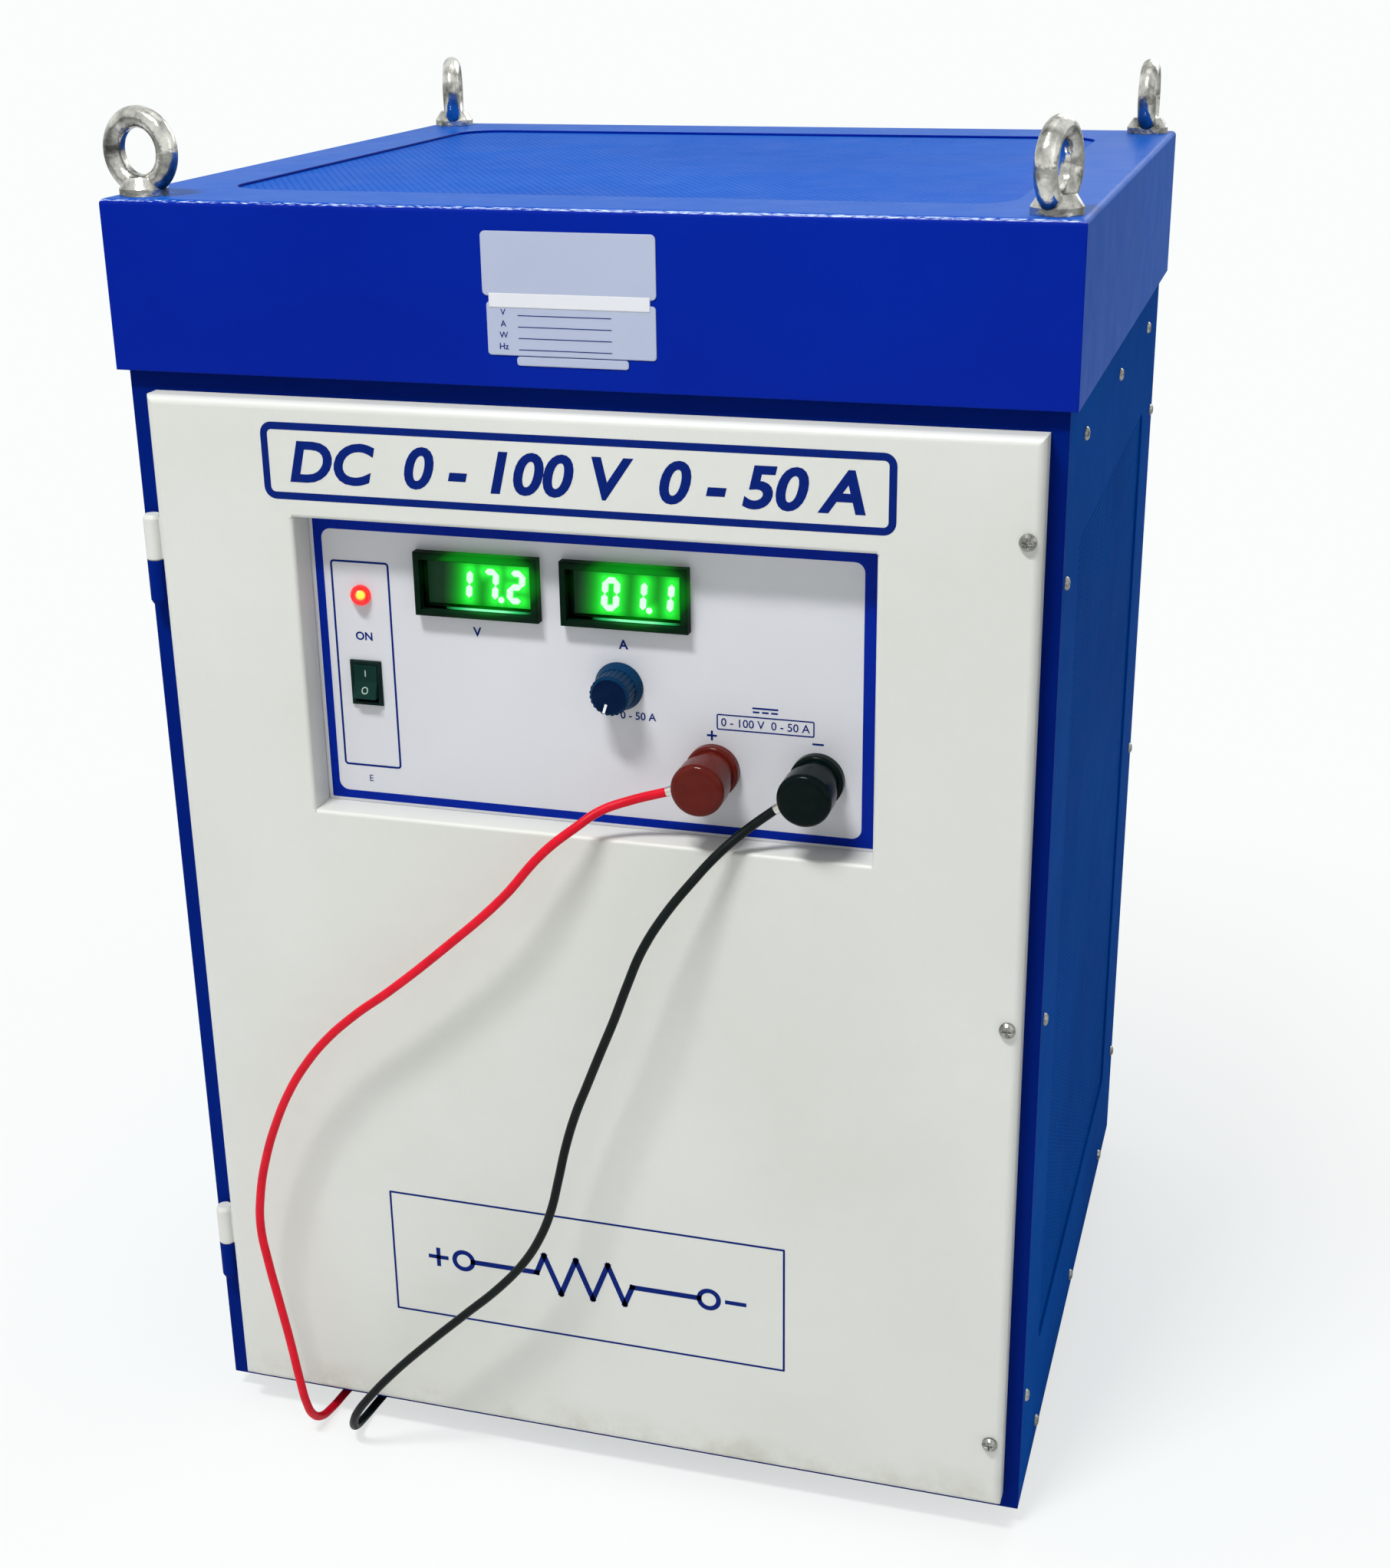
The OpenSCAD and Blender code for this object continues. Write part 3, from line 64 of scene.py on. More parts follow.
# Studio: a pale floor that fades into a white room, whose light falls off to the right, one long lamp
# high in front that casts the shadows in the door's window and the highlight along the hood's front bend,
# and weaker ones on the right, overhead and behind.
def fill(tree, made, sockets):
    """Gives each input of a node its value, or links it to another node's output."""
    for name, value in sockets.items():
        if isinstance(value, bpy.types.NodeSocket):
            tree.links.new(value, made.inputs[name])
        else:
            made.inputs[name].default_value = value


def node(tree, kind, sockets=None, **settings):
    """New node with its settings, and its inputs filled."""
    made = tree.nodes.new(kind)
    for name, value in settings.items():
        setattr(made, name, value)
    fill(tree, made, sockets or {})
    return made


def sums(tree, operation, *values):
    """Result of one operation on values or outputs."""
    return node(tree, "ShaderNodeMath", dict(enumerate(values)), operation=operation).outputs[0]


def ranged(tree, value, low=0.0, high=1.0, to_low=0.0, to_high=1.0):
    """Level that runs from to_low to to_high while a value runs from low to high."""
    return node(tree, "ShaderNodeMapRange", {
        "Value": value, "From Min": low, "From Max": high, "To Min": to_low, "To Max": to_high,
    }).outputs["Result"]


def places(tree):
    """Places on the object that a material covers."""
    return node(tree, "ShaderNodeTexCoord").outputs["Object"]


def nearness(tree, middle, scale, kind="SPHERICAL"):
    """Share that is 1 at a middle and falls to 0 where the scaled distance to it is 1."""
    centred = node(tree, "ShaderNodeMapping", {
        "Vector": places(tree), "Location": -middle * scale, "Scale": scale})
    fade = node(tree, "ShaderNodeTexGradient", {"Vector": centred.outputs[0]}, gradient_type=kind)
    return fade.outputs["Fac"]


def new_finish(name):
    """New material and its tree."""
    material = bpy.data.materials.new(name)
    material.use_nodes = True
    return material, material.node_tree


def screen(red, green, blue):
    """Linear colour of an 8-bit screen colour."""
    shares = (value / 255 for value in (red, green, blue))
    steps = [s / 12.92 if s <= 0.04045 else ((s + 0.055) / 1.055) ** 2.4 for s in shares]
    return (*steps, 1.0)


room_white = screen(250, 253, 252)
room_light_left = 0.56
room_light_right = 0.26
floor_white = screen(240, 242, 241)
floor_half = 30.0
floor_z = -0.0005
floor_shade_reach = 1.6
floor_shade = 0.55

room = bpy.data.worlds.new("room")
room.use_nodes = True
scene.world = room
tree = room.node_tree
rays = node(tree, "ShaderNodeLightPath").outputs
seen = rays["Is Camera Ray"]
for way in ("Is Glossy Ray", "Is Transmission Ray"):
    seen = sums(tree, "MAXIMUM", seen, rays[way])
facing = node(tree, "ShaderNodeTexCoord").outputs["Generated"]
across = node(tree, "ShaderNodeSeparateXYZ", {"Vector": facing}).outputs["X"]
room_light = ranged(tree, across, -1.0, 1.0, room_light_left, room_light_right)
fill(tree, tree.nodes["Background"], {
    "Color": room_white, "Strength": ranged(tree, seen, to_low=room_light, to_high=1.0)})

floor_finish, tree = new_finish("floor")
tree.nodes.remove(tree.nodes["Principled BSDF"])
near = nearness(tree, Vector(), Vector((1, 1, 1)) / floor_shade_reach, "QUADRATIC_SPHERE")
seen = node(tree, "ShaderNodeLightPath").outputs["Is Camera Ray"]
floor_mix = node(tree, "ShaderNodeMixShader", {
    0: ranged(tree, seen, to_low=1.0, to_high=sums(tree, "MULTIPLY", near, floor_shade)),
    1: node(tree, "ShaderNodeEmission", {"Color": room_white}).outputs[0],
    2: node(tree, "ShaderNodeBsdfDiffuse", {"Color": floor_white}).outputs[0]})
fill(tree, tree.nodes["Material Output"], {"Surface": floor_mix.outputs[0]})
floor_mesh = bpy.data.meshes.new("floor")
floor_corners = [(x * floor_half, y * floor_half, floor_z) for x, y in ((-1, -1), (1, -1), (1, 1), (-1, 1))]
floor_mesh.from_pydata(floor_corners, [], [(0, 1, 2, 3)])
floor_mesh.materials.append(floor_finish)
floor = bpy.data.objects.new("floor", floor_mesh)
scene.collection.objects.link(floor)

lamps = {
    "key_lamp": ((-0.5, -1.9, 3.7), (0.0, -0.3, 0.55), (1.0, 0.34), 110.0),
    "fill_lamp": ((2.6, -1.2, 1.6), (0.0, 0.0, 0.5), (1.8, 1.8), 4.0),
    "ceiling_lamp": ((0.2, 0.5, 3.0), (0.0, 0.0, 1.0), (1.6, 1.6), 5.0),
    "rear_lamp": ((0.8, 2.6, 2.2), (0.0, 0.3, 0.5), (1.6, 1.6), 26.0),
}
for name, (place, aim, (width, height), watts) in lamps.items():
    lamp = bpy.data.objects.new(name, bpy.data.lights.new(name, "AREA"))
    lamp.data.shape = "RECTANGLE"
    lamp.data.size = width
    lamp.data.size_y = height
    lamp.data.energy = watts
    lamp.location = place
    lamp.rotation_euler = (Vector(aim) - Vector(place)).to_track_quat("-Z", "Y").to_euler()
    scene.collection.objects.link(lamp)


# Cabinet shell: base plate, square-tube frame, front surround, side and rear panels and hinge halves of
# sheet steel, welded or screwed together and baked in a satin blue powder coat with a fine orange peel.
# The frame's copy of that blue is darkened as painted shade, and the panels' copy is lighter and greener
# as a painted reflection. The hood is coated apart from them and is glossier. Its top is painted lighter
# as a reflection, and its front bend carries a painted glint in short pale streaks.
def noise(tree, at, scale, detail, roughness=0.5, distortion=0.0):
    """Cloudy share at each place."""
    return node(tree, "ShaderNodeTexNoise", {
        "Vector": at, "Scale": scale, "Detail": detail, "Roughness": roughness, "Distortion": distortion,
    }).outputs["Fac"]


def blend(tree, share, *stops):
    """Colour that runs through stops of (share, colour) as a share rises."""
    ramp = node(tree, "ShaderNodeValToRGB", {"Fac": share})
    marks = ramp.color_ramp.elements
    marks[0].position = stops[0][0]
    marks[1].position = stops[-1][0]
    for stop, colour in stops[1:-1]:
        marks.new(stop)
    for mark, (stop, colour) in zip(marks, stops):
        mark.color = (*colour[:3], 1.0)
    return ramp.outputs["Color"]


def skin(tree, grain, strength, depth, edge_r):
    """Facing of a grained surface whose sharp edges are rolled."""
    rolled = node(tree, "ShaderNodeBevel", {"Radius": edge_r}, samples=4)
    return node(tree, "ShaderNodeBump", {
        "Strength": strength, "Distance": depth, "Height": grain, "Normal": rolled.outputs[0],
    }).outputs["Normal"]


def set_surface(material, sockets):
    """Gives a material's surface its levels and links."""
    fill(material.node_tree, material.node_tree.nodes["Principled BSDF"], sockets)
    return material


def powder_coat(name, tint, tint_far, gloss, peel=0.16, shine=0.5, varnish=0.0, bloom=0.0, marks=None):
    """Baked powder paint of two drifting tints, under the shares and tints that a function of marks gives."""
    material, tree = new_finish(name)
    at = places(tree)
    colour = blend(tree, noise(tree, at, 5.0, 4.0), (0.35, tint), (0.68, tint_far))
    for share, tint_there in marks(tree, at) if marks else ():
        colour = node(tree, "ShaderNodeMix", {
            "Factor": share, "A": colour, "B": tint_there}, data_type="RGBA").outputs["Result"]
    smudge = noise(tree, at, 26.0, 5.0, roughness=0.62)
    peeled = skin(tree, noise(tree, at, 620.0, 1.5), peel, depth=0.0004, edge_r=0.0012)
    return set_surface(material, {
        "Base Color": colour, "Roughness": ranged(tree, smudge, 0.3, 0.7, gloss, gloss + 0.1),
        "Normal": peeled, "Specular IOR Level": shine,
        "Coat Weight": varnish, "Coat Roughness": 0.09, "Coat Normal": peeled,
        "Sheen Weight": bloom, "Sheen Roughness": 0.3, "Sheen Tint": (0.0, 0.3, 1.0, 1.0)})


def hood_painted_light(tree, at):
    """Painted reflection in a lighter blue on top, and a painted glint in pale streaks on the front bend."""
    none = (0.0, 0.0, 0.0)
    full = (1.0, 1.0, 1.0)
    glint_middle = Vector((0.1364, 0.0, 0.0))
    facing = node(tree, "ShaderNodeSeparateXYZ", {
        "Vector": node(tree, "ShaderNodeNewGeometry").outputs["Normal"]}).outputs
    # Top faces take a lighter blue, a painted reflection.
    top_reflection_share = ranged(tree, facing["Z"], 0.5, 0.95)
    on_bend = blend(tree, facing["Z"], (0.45, none), (0.6, full), (0.78, full), (0.92, none))
    on_front = ranged(tree, facing["Y"], -0.2, -0.5)
    # Painted glint: pale streaks along the front bend, densest a little right of the middle.
    drawn_out = node(tree, "ShaderNodeMapping", {"Vector": at, "Scale": (190.0, 1500.0, 1500.0)})
    streaks = noise(tree, drawn_out.outputs[0], 1.0, 4.0)
    glint_nearness = nearness(tree, glint_middle, Vector((2.2, 0.0, 0.0)))
    glinting = ranged(tree, sums(tree, "MULTIPLY_ADD", glint_nearness, 0.1, streaks), 0.5, 0.66)
    painted_glint = sums(tree, "MULTIPLY", sums(tree, "MULTIPLY", on_bend, glinting), on_front)
    return (top_reflection_share, screen(0, 74, 172)), (painted_glint, screen(196, 214, 246))


def finish(material, *names):
    """Gives solids that stay as they are their finish."""
    for name in names:
        solids[name].data.materials.clear()
        solids[name].data.materials.append(material)


# Frame coat: the shell's blue darkened, as painted shade.
shaded_frame_coat = powder_coat("shaded_frame_coat", screen(0, 26, 112), screen(0, 31, 121), 0.5, shine=0.02)
finish(shaded_frame_coat, "base_plate", "corner_posts", "frame_rails", "front_surround", "frame_knuckles")
# Side coat: the shell's blue made lighter and greener, as a painted reflection of the room.
side_coat_painted_reflection = powder_coat("side_coat_painted_reflection", screen(0, 68, 152), screen(0, 75, 162), 0.62, shine=0.004)
finish(side_coat_painted_reflection, "left_side_panel", "right_side_panel", "rear_panel")
hood_coat = powder_coat("hood_coat", screen(0, 29, 143), screen(0, 34, 151), 0.4,
                        shine=0.02, varnish=0.1, bloom=0.4, marks=hood_painted_light)
finish(hood_coat, "hood")


# Levelling feet: moulded rubber pads on steel studs, each with a lock nut on the base plate. They only
# show from low down.
def moulded(name, tint, gloss, grain_scale=900.0, grain_depth=0.08, shine=0.5):
    """Moulded plastic or rubber with a fine grain and faint flow marks."""
    material, tree = new_finish(name)
    at = places(tree)
    flow = noise(tree, at, 60.0, 3.0, distortion=0.6)
    pale = [min(1.0, 1.25 * share + 0.003) for share in tint[:3]]
    grain = noise(tree, at, grain_scale, 2.0)
    return set_surface(material, {
        "Base Color": blend(tree, flow, (0.3, tint), (0.75, pale)),
        "Roughness": ranged(tree, flow, 0.3, 0.7, gloss, gloss + 0.12),
        "Normal": skin(tree, grain, grain_depth, depth=0.0003, edge_r=0.0005),
        "Specular IOR Level": shine})


finish(moulded("foot_rubber", screen(30, 30, 32), 0.7, grain_scale=500.0, grain_depth=0.2), "levelling_feet")


# Perforated sheets: thin steel punched with a close staggered pattern of small holes, powder-coated
# like the shell and screwed behind the windows in the hood's top and in both side panels. The top
# sheet's blue is lighter, a painted reflection like the hood's top.
hole_pitch = 0.0062
top_hole_d = 0.0017
side_hole_d = 0.0028
row_pitch = hole_pitch * math.sin(math.pi / 3)
sheet_t = 0.0015


def meshed(name, shape):
    """Mesh of a finished shape."""
    mesh = bpy.data.meshes.new(name)
    shape.to_mesh(mesh)
    shape.free()
    return mesh


def settled(holder):
    """Plain mesh of a new object with its modifiers or letters worked out, without the object."""
    scene.collection.objects.link(holder)
    bpy.context.view_layer.update()
    mesh = bpy.data.meshes.new_from_object(holder.evaluated_get(bpy.context.evaluated_depsgraph_get()))
    bpy.data.objects.remove(holder)
    return mesh


def punched_tile(hole_d):
    """One hole's walls and the bridges to the next holes on its right and above it."""
    def towards(angle, reach):
        turn = math.radians(angle)
        return Vector((reach * math.cos(turn), reach * math.sin(turn), 0))

    def corner(middle, angle, depth=0.0):
        return middle + towards(angle, hole_d / 2) - Vector((0, 0, depth))

    here = Vector((0, 0, 0))
    tile = bmesh.new()
    faces = []
    for angle in (0, 60, 120):
        there = towards(angle, hole_pitch)
        faces.append([corner(here, angle - 30), corner(there, angle - 150),
                      corner(there, angle + 150), corner(here, angle + 30)])
    for angle in (30, 90):
        faces.append([corner(here, angle), corner(towards(angle - 30, hole_pitch), angle + 120),
                      corner(towards(angle + 30, hole_pitch), angle + 240)])
    for angle in range(-30, 330, 60):
        faces.append([corner(here, angle), corner(here, angle + 60),
                      corner(here, angle + 60, sheet_t), corner(here, angle, sheet_t)])
    for face in faces:
        tile.faces.new([tile.verts.new(point) for point in face])
    bmesh.ops.remove_doubles(tile, verts=tile.verts, dist=1e-6)
    return bpy.data.objects.new("punched_tile", meshed("punched_tile", tile))


def growing_tree(name, kinds):
    """New geometry tree with inputs of the kinds given: itself, the inputs' keys and their sockets."""
    tree = bpy.data.node_groups.new(name, "GeometryNodeTree")
    tree.interface.new_socket("Geometry", in_out="OUTPUT", socket_type="NodeSocketGeometry")
    keys = {}
    for socket, kind in kinds.items():
        kind = f"NodeSocket{kind}"
        keys[socket] = tree.interface.new_socket(socket, in_out="INPUT", socket_type=kind).identifier
    return tree, keys, node(tree, "NodeGroupInput").outputs


def close_tree(tree, made, material):
    """Ends a geometry tree with what it made in a material."""
    painted = node(tree, "GeometryNodeSetMaterial", {"Geometry": made.outputs[0], "Material": material})
    node(tree, "NodeGroupOutput", {0: painted.outputs[0]})


def punching_tree():
    """Repeats a tile over a staggered grid of columns and rows, round the origin in the XY plane."""
    tree, keys, given = growing_tree("punching", {
        "Tile": "Object", "Columns": "Int", "Rows": "Int", "Pitch": "Float", "Row Pitch": "Float",
        "Paint": "Material"})
    width = sums(tree, "MULTIPLY", sums(tree, "SUBTRACT", given["Columns"], 1.0), given["Pitch"])
    height = sums(tree, "MULTIPLY", sums(tree, "SUBTRACT", given["Rows"], 1.0), given["Row Pitch"])
    grid = node(tree, "GeometryNodeMeshGrid", {
        "Size X": width, "Size Y": height, "Vertices X": given["Columns"], "Vertices Y": given["Rows"]})
    place = node(tree, "ShaderNodeSeparateXYZ", {0: node(tree, "GeometryNodeInputPosition").outputs[0]})
    from_edge = sums(tree, "ADD", place.outputs["Y"], sums(tree, "MULTIPLY", height, 0.5))
    row = sums(tree, "ROUND", sums(tree, "DIVIDE", from_edge, given["Row Pitch"]))
    odd = sums(tree, "FLOORED_MODULO", row, 2.0)
    stagger = sums(tree, "MULTIPLY", odd, sums(tree, "MULTIPLY", given["Pitch"], 0.5))
    shifted = node(tree, "GeometryNodeSetPosition", {
        "Geometry": grid.outputs["Mesh"],
        "Offset": node(tree, "ShaderNodeCombineXYZ", {"X": stagger}).outputs[0]})
    tile = node(tree, "GeometryNodeObjectInfo", {"Object": given["Tile"]})
    copies = node(tree, "GeometryNodeInstanceOnPoints", {
        "Points": shifted.outputs[0], "Instance": tile.outputs["Geometry"]})
    real = node(tree, "GeometryNodeRealizeInstances", {"Geometry": copies.outputs[0]})
    welded = node(tree, "GeometryNodeMergeByDistance", {"Geometry": real.outputs[0], "Distance": 1e-5})
    close_tree(tree, welded, given["Paint"])
    return tree, keys


def grown(name, tree, keys, values, base=None):
    """Plain mesh that a geometry tree grows, with its inputs given by name."""
    holder = bpy.data.objects.new(name, base or bpy.data.meshes.new(name))
    modifier = holder.modifiers.new("growth", "NODES")
    modifier.node_group = tree
    for socket, value in values.items():
        modifier[keys[socket]] = value
    mesh = settled(holder)
    mesh.name = name
    return mesh


def piece(name, mesh, body, *replaced):
    """New piece with its place in its mesh, riding on a body and standing for solids."""
    made = bpy.data.objects.new(name, mesh)
    scene.collection.objects.link(made)
    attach(made, body)
    if replaced:
        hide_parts(*replaced)
    return made


# Top sheet coat: a lighter azure blue, as a painted reflection of the room above.
top_coat_painted_reflection = powder_coat(
    "top_coat_painted_reflection", screen(0, 68, 172), screen(0, 76, 181), 0.45, peel=0.1, shine=0.04, bloom=0.5)
punching, punching_keys = punching_tree()


def punched_sheet(name, width, height, hole_d, turn, coat, replaced):
    """Punched field a little larger than its window, turned and moved to the sheet's outer face."""
    tile = punched_tile(hole_d)
    mesh = grown(name, punching, punching_keys, {
        "Tile": tile, "Columns": math.ceil(width / hole_pitch) + 1, "Rows": math.ceil(height / row_pitch) + 1,
        "Pitch": hole_pitch, "Row Pitch": row_pitch, "Paint": coat})
    bpy.data.objects.remove(tile)
    mesh.transform(turn)
    return piece(name, mesh, "cabinet", replaced)


vent_lap = 0.011
top_low, top_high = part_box("top_vent_sheet")
punched_sheet("top_vent", top_high.x - top_low.x - 2 * vent_lap, top_high.y - top_low.y - 2 * vent_lap,
              top_hole_d, Matrix.Translation((0, 0, top_high.z)), top_coat_painted_reflection, "top_vent_sheet")
side_low, side_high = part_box("side_vent_sheets")
for side, name in ((-1, "left_vent"), (1, "right_vent")):
    turn = Matrix.Rotation(side * math.pi / 2, 4, "Z") @ Matrix.Rotation(math.pi / 2, 4, "X")
    shift = Matrix.Translation((side * side_high.x, 0, (side_low.z + side_high.z) / 2))
    punched_sheet(name, side_high.y - side_low.y - 2 * vent_lap, side_high.z - side_low.z - 2 * vent_lap,
                  side_hole_d, shift @ turn, side_coat_painted_reflection, "side_vent_sheets")


# Bright hardware: zinc-plated steel for the lifting eyes, screws, hinge pins, studs and washers. The
# eyes are drop-forged before plating, so their skin is uneven. The near-black blotches in their colour are
# painted reflections.
def plated(name, tint, gloss, forging=0.0, blotch=30.0, dark=0.72):
    """Plated steel: dull blotches, painted reflections when dark is low, and a hammered skin where forged."""
    material, tree = new_finish(name)
    at = places(tree)
    blotches = noise(tree, at, blotch, 5.0, roughness=0.6)
    dull_and_reflection = [dark * share for share in tint[:3]]
    dents = noise(tree, at, 130.0, 2.0)
    return set_surface(material, {
        "Base Color": blend(tree, blotches, (0.32, dull_and_reflection), (0.62, tint)),
        "Roughness": ranged(tree, blotches, 0.3, 0.7, gloss + 0.16, gloss),
        "Normal": skin(tree, dents, 0.12 + forging, depth=0.0008, edge_r=0.0006),
        "Metallic": 1.0})


# Eye bolts: near-black blotches in the colour are painted reflections on the forged zinc.
forged_zinc_painted_reflections = plated("forged_zinc_painted_reflections", screen(220, 218, 211), 0.12, forging=0.7, blotch=52.0, dark=0.13)
finish(forged_zinc_painted_reflections, "eye_bolt_front_left", "eye_bolt_front_right", "eye_bolt_rear_left",
       "eye_bolt_rear_right")
zinc = plated("zinc", screen(190, 191, 190), 0.26)
finish(zinc, "hinge_pins", "panel_uprights", "post_studs", "earth_stud", "knob_shaft", "fan_tray",
       "red_washer", "black_washer", "potentiometer")
screw_zinc = plated("screw_zinc", screen(168, 167, 162), 0.18, blotch=240.0, dark=0.3)
finish(screw_zinc, "door_screws")


# Panel screws: zinc-plated pan heads with a cross recess, along the posts and rails of the sides and
# the rear, and at the control panel's corners. Each was driven to its own angle.
head_r = 0.005
head_h = 0.003
head_sides = 20
dome_steps = 5
dome_fullness = 0.55
shank_r = 0.0024
shank_l = 0.006
recess_w = 0.0011
recess_l = 1.1 * head_r
recess_z = 0.95 * head_h


def pan_head():
    """Pan head on z = 0 with a cross recess and a short shank below it."""
    rings = [(shank_r, -shank_l), (shank_r, 0.0)]
    for step in range(dome_steps):
        rise = step / dome_steps * math.pi / 2
        rings.append((head_r * math.cos(rise) ** dome_fullness, head_h * math.sin(rise)))
    angles = [2 * math.pi * i / head_sides for i in range(head_sides)]
    head = bmesh.new()
    loops = []
    for radius, level in rings:
        loops.append([head.verts.new((radius * math.cos(a), radius * math.sin(a), level)) for a in angles])
    for lower, upper in zip(loops, loops[1:]):
        for i in range(head_sides):
            after = (i + 1) % head_sides
            head.faces.new((lower[i], lower[after], upper[after], upper[i]))
    head.faces.new(loops[-1])
    head.faces.new(loops[0][::-1])
    cross = bmesh.new()
    for quarter in (0, 1):
        bar = bmesh.ops.create_cube(cross, size=1.0)["verts"]
        bmesh.ops.scale(cross, vec=(recess_l, recess_w, 2 * recess_w), verts=bar)
        bmesh.ops.rotate(cross, matrix=Matrix.Rotation(quarter * math.pi / 2, 3, "Z"), verts=bar)
        bmesh.ops.translate(cross, vec=(0, 0, recess_z), verts=bar)
    plain_head = bpy.data.objects.new("head", meshed("head", head))
    driver = bpy.data.objects.new("cross", meshed("cross", cross))
    scene.collection.objects.link(driver)
    cutter = plain_head.modifiers.new("recess", "BOOLEAN")
    cutter.object = driver
    cutter.operation = "DIFFERENCE"
    cutter.solver = "EXACT"
    cutter.use_self = True
    mesh = settled(plain_head)
    bpy.data.objects.remove(driver)
    return bpy.data.objects.new("pan_head", mesh)


def driving_tree():
    """Sets a screw on each point, along the point's facing and at a turn of its own."""
    tree, keys, given = growing_tree("driving", {
        "Geometry": "Geometry", "Screw": "Object", "Seed": "Int", "Plating": "Material"})
    facing = node(tree, "GeometryNodeInputNamedAttribute", {"Name": "facing"}, data_type="FLOAT_VECTOR")
    aligned = node(tree, "FunctionNodeAlignRotationToVector", {"Vector": facing.outputs[0]}, axis="Z")
    spin = node(tree, "FunctionNodeRandomValue", {
        2: 0.0, 3: math.pi, "Seed": given["Seed"]}, data_type="FLOAT")
    turn = node(tree, "FunctionNodeAxisAngleToRotation", {"Axis": (0, 0, 1), "Angle": spin.outputs[1]})
    driven = node(tree, "FunctionNodeRotateRotation", {
        "Rotation": aligned.outputs[0], "Rotate By": turn.outputs[0]}, rotation_space="LOCAL")
    screw = node(tree, "GeometryNodeObjectInfo", {"Object": given["Screw"]})
    copies = node(tree, "GeometryNodeInstanceOnPoints", {
        "Points": given["Geometry"], "Instance": screw.outputs["Geometry"], "Rotation": driven.outputs[0]})
    real = node(tree, "GeometryNodeRealizeInstances", {"Geometry": copies.outputs[0]})
    close_tree(tree, real, given["Plating"])
    return tree, keys


rear_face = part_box("rear_panel")[1].y
side_face = -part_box("left_side_panel")[0].x
tube_half = 0.015
post_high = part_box("corner_posts")[1]
rail_low, rail_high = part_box("frame_rails")
rail_zs = (rail_low.z + tube_half, rail_high.z - tube_half)
rail_step = 0.22
post_zs = (0.113, 0.444, 0.775)
panel_low, panel_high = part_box("control_panel")
panel_face = panel_low.y
rack_inset = Vector((0.009, 0.025))


def screw_rows(post_at):
    """Places of one panel's screws, along its two posts and its two rails."""
    on_posts = [(side * post_at, up) for side in (-1, 1) for up in post_zs]
    return on_posts + [(step * rail_step, up) for step in (-1, 0, 1) for up in rail_zs]


screw_places = []
for side in (-1, 1):
    for across, up in screw_rows(post_high.y - tube_half):
        screw_places.append(((side * side_face, across, up), (side, 0, 0)))
for across, up in screw_rows(post_high.x - tube_half):
    screw_places.append(((across, rear_face, up), (0, 1, 0)))
for across in (panel_low.x + rack_inset.x, panel_high.x - rack_inset.x):
    for up in (panel_low.z + rack_inset.y, panel_high.z - rack_inset.y):
        screw_places.append(((across, panel_face, up), (0, -1, 0)))
screw_points = bpy.data.meshes.new("screw_points")
screw_points.from_pydata([place for place, way in screw_places], [], [])
facing = screw_points.attributes.new("facing", "FLOAT_VECTOR", "POINT")
for index, (place, way) in enumerate(screw_places):
    facing.data[index].vector = way
screw = pan_head()
driving, driving_keys = driving_tree()
screws_mesh = grown("panel_screws", driving, driving_keys, {
    "Screw": screw, "Seed": 5, "Plating": screw_zinc}, screw_points)
bpy.data.objects.remove(screw)
piece("panel_screws", screws_mesh, "cabinet", "body_screws")


# Load section and wiring space: finned aluminium heat sinks with black power modules, copper bus bars,
# a folded aluminium chassis with its transformer and board, and two moulded fans under the hood.
# They show through the open door.
aluminium = plated("mill_aluminium", screen(188, 191, 195), 0.34, blotch=14.0)
finish(aluminium, "heat_sinks", "control_chassis")
finish(plated("bus_copper", screen(190, 118, 84), 0.3, blotch=22.0), "bus_bars", "aux_transformer")
black_moulding = moulded("black_moulding", screen(22, 23, 26), 0.42)
finish(black_moulding, "power_modules", "fan_frames", "left_fan_rotor", "right_fan_rotor", "cable_gland")
finish(moulded("board_mask", screen(18, 92, 46), 0.4, grain_scale=260.0, grain_depth=0.3), "control_board")


# Door: one sheet of steel folded into a shallow pan with rolled edges and a window with folded returns,
# in white powder coat, soiled along its foot. It hangs on two lift-off hinges and is held by three screws.
door_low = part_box("door_panel")[0]
door_face = door_low.y
dirt_reach = 0.034


def foot_dirt(tree, at):
    """Patches of dirt along the door's foot."""
    up = node(tree, "ShaderNodeSeparateXYZ", {"Vector": at}).outputs["Z"]
    low = ranged(tree, up, door_low.z + dirt_reach, door_low.z)
    patches = ranged(tree, noise(tree, at, 15.0, 6.0, roughness=0.66), 0.46, 0.74)
    return [(sums(tree, "MULTIPLY", low, patches), screen(178, 174, 160))]


white_coat = powder_coat(
    "white_coat", screen(211, 212, 206), screen(217, 218, 213), 0.36, peel=0.2, marks=foot_dirt)
finish(white_coat, "door_panel", "door_knuckles", "door_stiffener")


# Door prints: screen-printed blue ink, a round-cornered frame with the ranges above the window, and a
# fine frame with the sign for a variable load between its two poles on the lower half.
ink_t = 0.00012
least_corner = 0.0002
corner_gap = 0.0001


def ink(name, tint):
    """Screen ink, a little uneven in cover and more matt than the coat below."""
    material, tree = new_finish(name)
    cover = noise(tree, places(tree), 240.0, 4.0)
    thick = [0.86 * share for share in tint[:3]]
    return set_surface(material, {
        "Base Color": blend(tree, cover, (0.25, thick), (0.6, tint)),
        "Roughness": ranged(tree, cover, to_low=0.36, to_high=0.52), "Specular IOR Level": 0.06})


